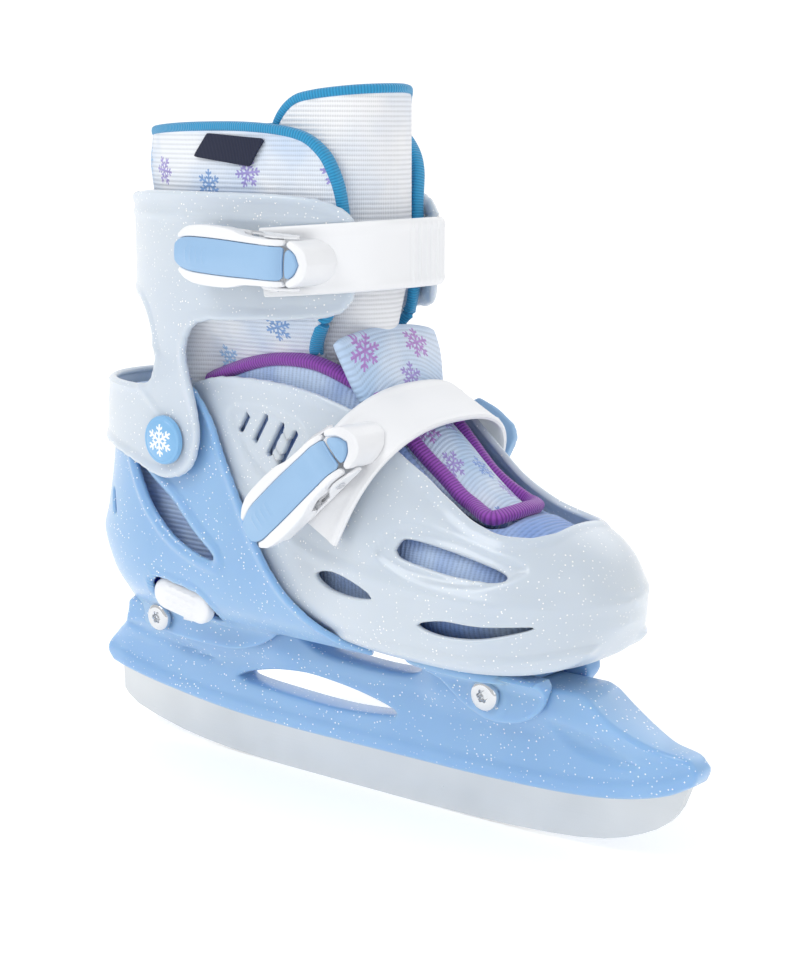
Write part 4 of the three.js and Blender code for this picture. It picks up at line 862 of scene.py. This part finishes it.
# The padded collar and tongue.
collar = {"half": 33.6, "back": 51.5, "front": 63.5, "wall": 4.2, "step": 1.4, "low": 145, "high": 249}
collarPath = legPath(collar["half"], collar["back"], collar["front"], cuff["centre"], cuff["power"])
levels = np.arange(collar["low"], collar["high"], collar["step"])
at = np.linspace(-148, 148, 212)
plan = collarPath(np.abs(at))
rows = np.stack([np.column_stack([plan[:, 0], plan[:, 1] * np.sign(at), np.full(len(at), z)]) for z in levels])


def collarPuff(x, z):
    # the padding swells above the cuff and in its rear window, and tucks inside the foot's edge at the sides
    tuck = 11 * (1 - ramp(z, 160, 182)) * ramp(x, -78, -56)
    return 1.3 * np.exp(-((z - 234) / 9) ** 2) - tuck + 2.0 * np.exp(-((z - 166) / 9) ** 2) * ramp(-x, 75, 90)


puff = collarPuff(rows[..., 0], rows[..., 2])
uv = np.stack([np.broadcast_to(at * mm, rows.shape[:2]), rows[..., 2] * mm], 2)
collarSkin = facing(grid(rows, uv=uv), len(at) * 20 + len(at) // 2, (-1, 0, 0)).pushed(puff.ravel())
collarTop = [(-9, 160), (-8, 169), (-3, 179), (1.6, 190), (4.2, 205), (3.6, 220), (1.5, 231), (-3, 239.5), (-12, 245),
             (-32, 247.3), (-60, 247.3), (-88, 246), (-108, 243.5)]
collarSide = np.vstack([[(-9, 147)], curve(collarTop), [(-150, 243), (-150, 147)]])
outer = cutAway(collarSkin, awayFrom(collarSide)(collarSkin.points[:, [0, 2]]) + 1.8)
collarPiece = addPiece("linerCollar", walled(outer, outer.points - outer.normals() * collar["wall"], 1.8), None,
                       linerKnit, ["liner_collar"])
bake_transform(collarPiece)


def onCollar(x, z, inset):
    # a point of the collar's near side at x and z, moved inwards from its surface
    along = x - cuff["centre"]
    reach = np.where(along > 0, collar["front"], collar["back"])
    share = np.clip(np.abs(along) / reach, 0, 0.9999)
    power = np.where(along > 0, cuff["power"], cuff["rearPower"])
    across = (1 - share ** power) ** (1 / power)
    normal = np.stack([np.sign(along) * share ** (power - 1) / reach, across ** (power - 1) / collar["half"]], 1)
    normal /= np.linalg.norm(normal, axis=1, keepdims=True)
    flat = np.stack([x, collar["half"] * across], 1) + normal * (collarPuff(x, z) - inset)[:, None]
    return np.stack([flat[:, 0], -flat[:, 1], z], 1)


edgeLine = curve(collarTop[:-1] + [(-96, 245.2), (-101.2, 244.6)], 1.5)
side = onCollar(edgeLine[:, 0], edgeLine[:, 1], collar["wall"] / 2)
collarEdge = curve(np.vstack([side[::2], [(-99.4, 0, 244.4)], (side * (1, -1, 1))[::-2]]), 1.4)
bindUp = np.array([0, 0, 1.0]) + np.stack([ramp(collarEdge[:, 0], -8, 3) * 2.2, 0 * collarEdge[:, 0],
                                           0 * collarEdge[:, 0]], 1)
collarBinding = addPiece("collarBinding", sweep(collarEdge, bindingSection(5.4, 3.8), bindUp), None,
                         cyanTape, ["collar_binding"])
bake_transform(collarBinding)
tongue = {"centre": -25, "reach": 36, "half": 26.4, "wall": 5.2, "low": 160, "high": 262.5, "from": -1.6,
          "to": 0.72, "turn": 30}  # turn is the millimetres of cloth for each radian
levels = np.arange(tongue["low"], tongue["high"], 1.4)
turn = np.linspace(tongue["from"] - 0.05, tongue["to"] + 0.05, 80)


def tongueAt(bend, z, inset):
    # the tongue's section is an arc; low down it narrows and leans back under the lower tongue
    slim = 1 - 0.3 * (1 - ramp(z, 165, 196))
    return np.stack([tongue["centre"] + (tongue["reach"] - inset) * np.cos(bend) - 5 * (1 - ramp(z, 160, 215)),
                     (tongue["half"] - inset) * slim * np.sin(bend), z], -1)


rows = np.stack([tongueAt(turn, np.full(len(turn), z), 0) for z in levels])
arc = turn * tongue["turn"]
uv = np.stack([np.broadcast_to(arc * mm, rows.shape[:2]), rows[..., 2] * mm], 2)
tongueSkin = facing(grid(rows, uv=uv), len(turn) * 20 + len(turn) // 2, (1, 0, 0))
flat = np.stack([np.broadcast_to(arc, rows.shape[:2]).ravel(), tongueSkin.points[:, 2]], 1)
ends = (tongue["from"] * tongue["turn"], tongue["to"] * tongue["turn"])
tongueRing = np.vstack([
            [(ends[0], tongue["low"] + 1)],
            curve([(ends[0], 236), (ends[0] + 0.6, 245), (ends[0] + 3.6, 252), (ends[0] + 10, 257.4),
                   (-21, 260), (0, 260.8), (12, 260.4), (ends[1] - 4, 259.4), (ends[1] - 0.8, 257), (ends[1], 251)]),
            [(ends[1], tongue["low"] + 1)]])
outer = cutAway(tongueSkin, awayFrom(tongueRing)(flat) + 2.2)
tonguePiece = addPiece("tongueUpper", walled(outer, outer.points - outer.normals() * tongue["wall"], 2.2), None,
                       tongueKnit, ["tongue_upper"])
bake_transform(tonguePiece)
edgeRing = curve(np.vstack([[(ends[0], 200)], tongueRing[1:-1:4], [(ends[1], 240), (ends[1], 172)]]), 1.5)
bend = edgeRing[:, 0] / tongue["turn"]
path = tongueAt(bend, edgeRing[:, 1], tongue["wall"] / 2)
across = np.stack([np.cos(bend), np.sin(bend), 0 * bend], 1)
tongueBinding = addPiece("tongueBinding", sweep(path, bindingSection(3.8, 6.2), across), None,
                         cyanTape, ["tongue_binding"])
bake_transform(tongueBinding)

# the lower tongue: a crowned pad from the ankle's bend down into the throat
vamp = {"wall": 4.5, "from": 6.5, "to": 66}
vampHalf = smooth([(6, 26), (10, 25), (15, 21), (24, 16.8), (38, 14.8), (52, 13.2), (60, 11), (66, 7)])
vampCrest = smooth([(6, 176.5), (10, 171.5), (14, 162.5), (17.5, 154.2), (22, 149.6), (34, 139.4), (46, 128.2),
                    (56, 120.4), (66, 115.4)])
xs = np.linspace(vamp["from"], vamp["to"], 84)
u = np.linspace(-1, 1, 48)
drop = smooth([(6, 3), (14, 9), (40, 8), (66, 4)])
points = np.stack([np.broadcast_to(xs[:, None], (84, 48)), lean(xs)[:, None] + u * vampHalf(xs)[:, None],
                   vampCrest(xs)[:, None] - drop(xs)[:, None] * np.abs(u) ** 2.2], 2)
slope = np.concatenate([[0], np.cumsum(np.hypot(np.diff(xs), np.diff(vampCrest(xs))))])
uv = np.stack(np.broadcast_arrays(u[None, :] * 0.02, slope[:, None] * mm), 2)
vampSkin = facing(grid(points, uv=uv), 84 * 20, (0, 0, 1))
vampPiece = addPiece("tongueLower", walled(vampSkin, vampSkin.points - vampSkin.normals() * vamp["wall"], 2.2), None,
                     vampKnit, ["tongue_lower"])
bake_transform(vampPiece)
labelRing = [(-50, 245.2), (-56, 236.8), (-28, 233.6), (-22.5, 243.4)]


def labelFace(x, z):
    # the label lies on the collar and lifts off it towards its free edge, with a crease near one side
    return -onCollar(x, z, 0.1)[:, 1] + 0.05 * (245 - z) + 0.5 * np.exp(-((x + 27.5 - 0.4 * (z - 234)) / 0.8) ** 2)


addPiece("labelTab", slab(labelRing, labelFace, lambda x, z: labelFace(x, z) + 1.0, 0.4, 0.9, sideways), "cuff",
         navyTape, ["label_tab"])
print("liner made")

# The straps.
strap = {"width": 24.5, "thick": 2.3, "gap": 0.6, "mid": 200.75, "slope": 0.08, "pivot": -15}


def strapSection(count, ribs):
    # a flat band with round edges and a shallow channel; ribs swells it outwards
    fine = evenly(roundBox(strap["thick"], strap["width"], 1.0), 1.0, closed=True)
    channel = 0.35 * (1 - ramp(np.abs(fine[:, 1]), 8.2, 9.6)) * (fine[:, 0] > 0.2)
    out = np.broadcast_to(fine, (count,) + fine.shape).copy()
    out[..., 0] -= channel
    out[..., 0] += ribs[:, None] * (fine[:, 0] > 0) * (1 - ramp(np.abs(fine[:, 1]), 9.4, 11.4))
    return out


offset = strap["gap"] + strap["thick"] / 2
half, back, front = cuff["half"] + offset, 70, cuff["front"] + offset
turn = np.linspace(math.pi * 0.72, 0, 400)
c, s = np.cos(turn), np.sin(turn)
line = np.stack([cuff["centre"] + np.where(c > 0, front, back) * np.sign(c) * np.abs(c) ** (2 / cuff["power"]),
                 half * np.abs(s) ** (2 / cuff["power"])], 1)
nearSide, farSide = line[line[:, 0] > -20], line[line[:, 0] > -30]
loop = evenly(np.vstack([nearSide * (1, -1), farSide[::-1][1:]]), 0.55)
strapPath = np.column_stack([loop, strap["mid"] + strap["slope"] * (loop[:, 0] - strap["pivot"])])
run = np.arange(len(loop)) * 0.55
mark = run[np.argmax(loop[:, 0])]
ribs = 0.7 * np.clip(np.sin(2 * math.pi * (run - mark) / 3.6), 0, 1) * ramp(run, mark - 5, mark - 3) \
    * (1 - ramp(run, mark + 40, mark + 44))
addPiece("cuffStrap", sweep(strapPath, strapSection(len(loop), ribs), (0, 0, 1)), "cuff", whiteNylon,
         ["cuff_strap"])
instep = {"along": -46.5, "low": 106, "half": 41.2, "rise": 39.2, "middle": 1.2, "near": 99, "far": 96,
          "turn": 0.49}
turn = np.linspace(0, math.pi, 400)
c = np.cos(turn)
grow = strap["thick"] / 2
arch = np.stack([instep["middle"] - np.sign(c) * (instep["half"] + grow) * np.abs(c) ** 0.8,
                 instep["low"] + (instep["rise"] + grow) * np.sin(turn) ** 0.8], 1)
arch = evenly(np.vstack([[(arch[0, 0], instep["near"])], arch, [(arch[-1, 0], instep["far"])]]), 0.8)
c, s = math.cos(instep["turn"]), math.sin(instep["turn"])
downhill, uphill = np.array([c, 0, -s]), np.array([s, 0, c])
instepPath = arch[:, :1] * (0, 1, 0) + arch[:, 1:] * uphill + instep["along"] * downhill
run = np.arange(len(arch)) * 0.8
ribs = 0.5 * np.clip(np.sin(2 * math.pi * run / 3.2), 0, 1) * ramp(run, run[-1] - 52, run[-1] - 48)
addPiece("instepStrap", sweep(instepPath, strapSection(len(arch), ribs), -downhill), "toe",
         whiteNylon, ["instep_strap"])

# The lever buckles, in a frame of their own: a along the lever, b along its pin.
lever = {"barrel": 6.6, "step": 0.75}
gripRing = np.vstack([
    [(-6.2, -8.2)],
    curve([(3, -8.3), (10, -8.8), (16, -10.2), (24, -10.7), (33, -10.4), (39, -9), (42.5, -6.6)]), [(42.5, 6.6)],
    curve([(39, 9), (33, 10.4), (24, 10.7), (16, 10.2), (10, 8.8), (3, 8.3)]), [(-6.2, 8.2)]])
padSide = [(5, 6.1), (20, 6.4), (34, 6.2), (40.5, 5.2), (43.2, 3.2)]
noseSide = [(-9, 8.0), (-12, 6.6), (-14, 4.2), (-15, 0)]
tipSide = [(-9, 4.8), (-10.6, 3.2), (-11.8, 0)]


def mirrored(start, side):
    # a closed outline from its +y side, starting straight across at start
    line = curve([start] + side, 1.0)
    return np.vstack([line, (line * (1, -1))[::-1]])


def gripTop(a, b):
    # the lever's top: a barrel round the pin, then a long gentle crown
    round_ = np.sqrt(np.clip(lever["barrel"] ** 2 - np.minimum(a, 0) ** 2, 1, None))
    return round_ - 0.9 * (b / 10.6) ** 2 + 0.7 * ramp(a, 0, 18) - 1.6 * ramp(a, 32, 43)


def gripUnder(a, b):
    # the frame's underside: an arc over the pin, then level
    return np.where(a > 4, 2.4, np.sqrt(np.clip(4.9 ** 2 - np.minimum(a, 4) ** 2, 1, None)))


def padTop(a, b):
    # the insert's domed top, with four cross ridges near its grip end
    marks = 0.35 * np.clip(np.sin(2 * math.pi * (a - 26) / 3.0), 0, 1) * ramp(a, 25.5, 26.5) * (1 - ramp(a, 37, 38))
    dome = 0.1 + 0.9 * ramp(a, 1, 8) * (1 - (b / 6) ** 2)
    return gripTop(a, b) + dome + marks * (1 - ramp(np.abs(b), 2.2, 3.2))


def leverBuckle(name, leverBody, baseBody, place, under, fall):
    # the lever with its insert on one body; the base with a nose and a blue tip, which carry the line on, on another
    def onEdge(p):
        return place(p[:, [0, 2, 1]])
    pad = mirrored((-7, 6.0), padSide)
    frameTop = slab(gripRing, gripUnder, gripTop, 0.5, lever["step"], place, [pad])
    tray = slab(mirrored((6, 7.2), [(34, 7.2), (41, 5.5)]), 2.5, 4.0, 0.3, 1.0, place)
    skirtRing = np.array([(8, 7.4), (33, 7.6), (38.5, 5), (40, 7), (34, 10), (22, 10.2), (8, 8.6)])
    skirts = [slab(skirtRing * (1, sign), -2.4, 2.9, 0.7, lever["step"], place) for sign in (-1, 1)]
    wings = [slab([(-4.6, 1.6), (-3.2, 5.0), (0, 5.8), (12, 4.4), (12, 2.0), (4, -1.4), (1.5, -2.8), (-1.5, -2.8),
                   (-4.4, -0.5)], 6.9 * sign, 8.1 * sign, 0.3, 0.8, onEdge) for sign in (-1, 1)]
    hub = sweep([(0, -7.5, 0), (0, 0, 0), (0, 7.5, 0)], roundBox(4.6, 4.6, 2.2), (0, 0, 1))
    hub.points = place(hub.points)
    addPiece(name + "Lever", both(frameTop, tray, outwards(hub), *skirts, *wings), leverBody,
             whiteNylon, [f"{name}_lever"])
    padBody = slab(pad * (0.98, 0.97) + (0.7, 0), lambda a, b: gripTop(a, b) - np.where(a > 4, 2.4, 1.2), padTop,
                   0.5, 0.6, place)
    addPiece(name + "LeverInsert", padBody, leverBody, blueNylon, [f"{name}_lever_insert"])

    def noseTop(a, b):
        # from the barrel's height the nose falls away towards the strap
        away = np.clip((-7 - a) / 9, 0, 1)
        return 3.3 - fall * away ** 1.7 - 0.9 * (b / 8) ** 2
    tip = mirrored((-7.1, 5.9), tipSide)
    nose = slab(mirrored((-7.1, 8.3), noseSide), under, noseTop, 0.8, lever["step"], place, [tip])
    blueTip = slab(tip * (1, 0.96), lambda a, b: noseTop(a, b) - 2.4,
                   lambda a, b: noseTop(a, b) + 0.3 - 0.3 * (b / 6) ** 2, 0.6, 0.6, place)
    base = slab([(7, -7.3), (24, -7.3), (24, 7.3), (7, 7.3)], -4.2, -3.0, 0.4, 1.2, place)
    cheeks = [slab([(-9, -4.0), (-5.4, -4.2), (24, -4.2), (24, -3.0), (9, -2.4), (3, 2.6), (0, 3.4), (-3, 2.6),
                    (-9, -1.5)], 8.5 * sign, 9.6 * sign, 0.4, 0.8, onEdge) for sign in (-1, 1)]
    sill = slab([(14, -9.6), (24, -9.6), (24, 9.6), (14, 9.6)], -4.2, -3.0, 0.4, 1.2, place)
    addPiece(name + "BuckleBase", both(base, nose, sill, *cheeks), baseBody, whiteNylon,
             [f"{name}_buckle_base"])
    addPiece(name + "BuckleTip", blueTip, baseBody, blueNylon)
    stud = sweep([(0, 9.2, 0), (0, 9.9, 0), (0, 10.2, 0)], roundBox(3.4, 3.4, 1.65), (0, 0, 1))  # the pin's head
    stud.points = place(stud.points)
    addPiece(name + "PinHead", stud, baseBody, brightPlate)


cuffPin, instepPin = (-8, -44.8, 201.5), (17, -47, 134)


def underCuffBuckle(a, b):
    # down to the strap's face, which curves away round the leg
    share = np.clip((cuff["centre"] - cuffPin[0] + a) / -cuff["front"], 0, 0.99)
    strapFace = cuff["half"] * (1 - share ** cuff["power"]) ** (1 / cuff["power"]) + strap["gap"] + strap["thick"]
    return strapFace + cuffPin[1] - 0.6


def underInstepBuckle(a, b):
    # down to the strap's face, which curves away over the instep
    level = 126.2 - 0.935 * a - 0.35 * b
    rise = np.clip((level - instep["low"]) / (instep["rise"] + strap["thick"]), 0, 0.97) ** 1.25
    strapFace = (instep["half"] + strap["thick"]) * np.sqrt(1 - rise ** 2) ** 0.8 - instep["middle"]
    return np.maximum(strapFace + instepPin[1] - 0.6, -21)


leverBuckle("cuff", "cuff_lever", "cuff", framed(cuffPin, (-1, 0, 0.05), (0, -1, 0)), underCuffBuckle, 4.5)
leverBuckle("instep", "instep_lever", "toe", framed(instepPin, (-0.75, 0, -0.66), (0, -1, 0)), underInstepBuckle, 8)


def ratchetReceiver(name, plateBody, baseBody, place):
    # a flat cradle on the inner side, and the sprung plate that holds the strap
    wide = strap["width"] / 2 + 0.6
    cradle = slab([(-6.5, -wide - 1.8), (13, -wide - 1.8), (13, wide + 1.8), (-6.5, wide + 1.8)], -3.7, -2.6, 0.5, 1.2,
                  place)
    addPiece(name + "Receiver", cradle, baseBody, blueNylon, [f"{name}_receiver"])
    inner = wide - 0.5
    plateRing = np.vstack([[(-2.2, -inner), (20, -inner)], curve([(24, -inner + 3), (25, 0), (24, inner - 3)]),
                           [(20, inner), (-2.2, inner)]])

    def plateTop(a, b):
        return 4.2 + 1.1 * np.sin(math.pi * np.clip(a / 24, 0, 1)) - 1.4 * ramp(a, 15, 25) \
            + 0.35 * np.clip(np.sin(2 * math.pi * a / 3), 0, 1) * ramp(a, 14, 15)
    addPiece(name + "Ratchet", slab(plateRing, lambda a, b: 1.2 + 0.5 * np.sin(math.pi * np.clip(a / 24, 0, 1)),
                                    plateTop, 0.7, 0.8, place), plateBody, blueNylon,
             [f"{name}_ratchet"])


ratchetReceiver("cuff", "cuff_ratchet", "cuff", framed((-31, 44.9, 201.5), (1, 0, 0.08), (0, 1, 0)))
ratchetReceiver("instep", "instep_ratchet", "toe", framed((6.2, 48.8, 119.5), (0.47, 0, 0.88), (0, 1, 0)))


# The button, the bolts and the ankle caps.
def buttonTop(x, z):
    # four ribs across the button's middle
    c, s = math.cos(buttonAt["turn"]), math.sin(buttonAt["turn"])
    a = (x - buttonAt["x"]) * c + (z - buttonAt["z"]) * s
    b = -(x - buttonAt["x"]) * s + (z - buttonAt["z"]) * c
    ribs = 0.5 * np.clip(np.sin(2 * math.pi * (b + 4.6) / 2.6), 0, 1) * (1 - ramp(np.abs(a), 7, 9))
    return 31.2 - 0.5 * (b / 6) ** 2 + ribs * (1 - ramp(np.abs(b), 4.2, 5))


buttonBody = both(slab(slotRing(buttonAt["x"], buttonAt["z"], 30, 12.6, buttonAt["turn"]), 26.5, buttonTop, 1.3, 0.7,
                       sideways),
                  slab([(-74.8, 59.3), (-69.2, 59.3), (-69.2, 61.5), (-74.8, 61.5)], 2, 26, 0.3, 0.7, sideways),
                  slab([(-74.8, 59.3), (-69.2, 59.3), (-69.2, 65), (-74.8, 65)], 24.5, 27, 0.3, 0.7, sideways))
addPiece("sizeButton", buttonBody, "size_button", whiteNylon, ["size_button"])
# a round head with a rolled edge and a six-lobed socket, on a plain shank
boltProfile = [(0.01, 1.2), (1.9, 1.2), (2.05, 2.5), (2.3, 2.9), (3.8, 3.0), (4.8, 2.75), (5.4, 2.2), (5.6, 1.5),
               (5.6, 0.3), (5.3, 0.0), (2.5, 0.0), (2.5, -33.5), (0.01, -33.5)]


def lobes(r, turn):
    # six lobes round the socket, fading out on the head
    return 1 + 0.14 * np.cos(6 * turn) * (1 - ramp(r, 2.0, 2.9)) * (r > 0.5)


for name, (x, z), node in (("frontBolt", boltFront, "front_bolt"), ("rearBolt", boltRear, "rear_bolt")):
    bolt = spun(boltProfile, (x, -15.3, z), -1, 72, lobes)
    addPiece(name, bolt, "root", brightPlate, [node])

ankle = (-70, 132)  # the cuff's hinge
capBlue, tree, shader = newMaterial("capBlueNylon", {"Roughness": 0.28, "IOR": 1.52, "Coat Weight": 0.3})
spotAt = add(tree, "SeparateXYZ", links={0: add(tree, "TexCoord").outputs["Object"]})
flake = snowflake(tree, maths(tree, "SUBTRACT", spotAt.outputs[2], ankle[1] * mm),
                  maths(tree, "SUBTRACT", spotAt.outputs[0], ankle[0] * mm), 0.0062, 0.00042)
surfaced(tree, shader, mixed(tree, flake, "#7fb6e3", "#f2f7fc"), flake, 0.4, 0.0003)
capProfile = [(0.01, 3.3), (3, 3.25), (5.6, 3.0), (7.2, 2.55), (7.8, 2.2), (8.2, 2.3), (8.9, 2.0), (9.25, 1.3),
              (9.25, 0.2), (9.0, 0.0), (0.01, 0.0)]
for name, sign, node in (("rivetCapRight", -1, "rivet_cap_right"), ("rivetCapLeft", 1, "rivet_cap_left")):
    cap = spun(capProfile, (ankle[0], sign * 39.1, ankle[1]), sign, 64)
    addPiece(name, cap, "root", capBlue, [node])
finishes = {"blade": bladeSteel, "latch_spring": bladeSteel, "toe_rack": milkShell, "rear_nut": brightPlate,
            "front_nut": brightPlate, "ankle_rivet": brightPlate, "cuff_": brightPlate, "instep_": brightPlate}
for name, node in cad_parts.items():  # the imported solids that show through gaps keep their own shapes
    for start, finish in finishes.items():
        if name.startswith(start) and not node.hide_render:
            node.data.materials.clear()
            node.data.materials.append(finish)
print("buckles and small parts made")

# The stage, the lights and the camera.
studio = {"floorHalf": 4.0, "back": 2.2, "bend": 0.9, "height": 3.2}
run = np.linspace(0, 1, 60)
turn = np.linspace(0, math.pi / 2, 24)
view = np.radians(39.1)  # the sweep's back stands square to the camera
away = np.array([-math.sin(view), math.cos(view)])
profile = np.vstack([[(-3.0, 0)], np.stack([studio["back"] + studio["bend"] * np.sin(turn),
                     studio["bend"] * (1 - np.cos(turn))], 1), [(studio["back"] + studio["bend"], studio["height"])]])
wide = np.array([-studio["floorHalf"], studio["floorHalf"]])
across = np.array([away[1], -away[0]])
points = np.stack([np.column_stack([profile[:, :1] * away + w * across, profile[:, 1]]) for w in wide], 1)
floorMesh = bpy.data.meshes.new("floor")
count = len(profile)
faces = [(2 * i, 2 * i + 1, 2 * i + 3, 2 * i + 2) for i in range(count - 1)]
floorMesh.from_pydata(points.reshape(-1, 3).tolist(), [], faces)
floorMesh.shade_smooth()
paper, tree, shader = newMaterial("paperSweep", {"Base Color": hexColour("#f4f4f4"), "Roughness": 0.9,
                                                 "Specular IOR Level": 0.1, "Emission Color": hexColour("#ffffff"),
                                                 "Emission Strength": 0.3})
floorMesh.materials.append(paper)
floor = placed("floor", floorMesh)

world = bpy.data.worlds.new("studio")
world.use_nodes = True
world.node_tree.nodes["Background"].inputs[0].default_value = hexColour("#ffffff")
world.node_tree.nodes["Background"].inputs[1].default_value = 0.72
bpy.context.scene.world = world


def softbox(name, place, target, size, power):
    # a square area lamp aimed at target, in metres and watts
    light = bpy.data.lights.new(name, "AREA")
    light.shape, light.size, light.energy = "SQUARE", size, power
    lamp = placed(name, light)
    lamp.location = place
    toTarget = np.array(target) - np.array(place)
    level = math.hypot(toTarget[0], toTarget[1])
    lamp.rotation_euler = (math.atan2(level, -toTarget[2]), 0, math.atan2(toTarget[1], toTarget[0]) - math.pi / 2)


softbox("keyLight", (-0.5, -1.3, 1.5), (0, 0, 0.12), 0.9, 11)
softbox("fillLight", (1.5, -0.5, 0.9), (0, 0, 0.12), 1.2, 3)
softbox("backLight", (0.2, 1.4, 1.3), (0, 0, 0.15), 1.2, 4)

shot = {"azimuth": 39.1, "elevation": 10.5, "distance": 0.7206, "target": (0.0115, 0, 0.1205), "lens": 74.0}
lensData = bpy.data.cameras.new("camera")
lensData.lens, lensData.sensor_width, lensData.sensor_fit = shot["lens"], 36, "AUTO"
camera = placed("camera", lensData)
a, e = math.radians(shot["azimuth"]), math.radians(shot["elevation"])
toward = np.array([math.sin(a) * math.cos(e), -math.cos(a) * math.cos(e), math.sin(e)])
camera.location = np.array(shot["target"]) + shot["distance"] * toward
camera.rotation_euler = (math.pi / 2 - e, 0, a)
bpy.context.scene.camera = camera
bpy.context.scene.view_settings.view_transform = "Standard"
print("stage set")
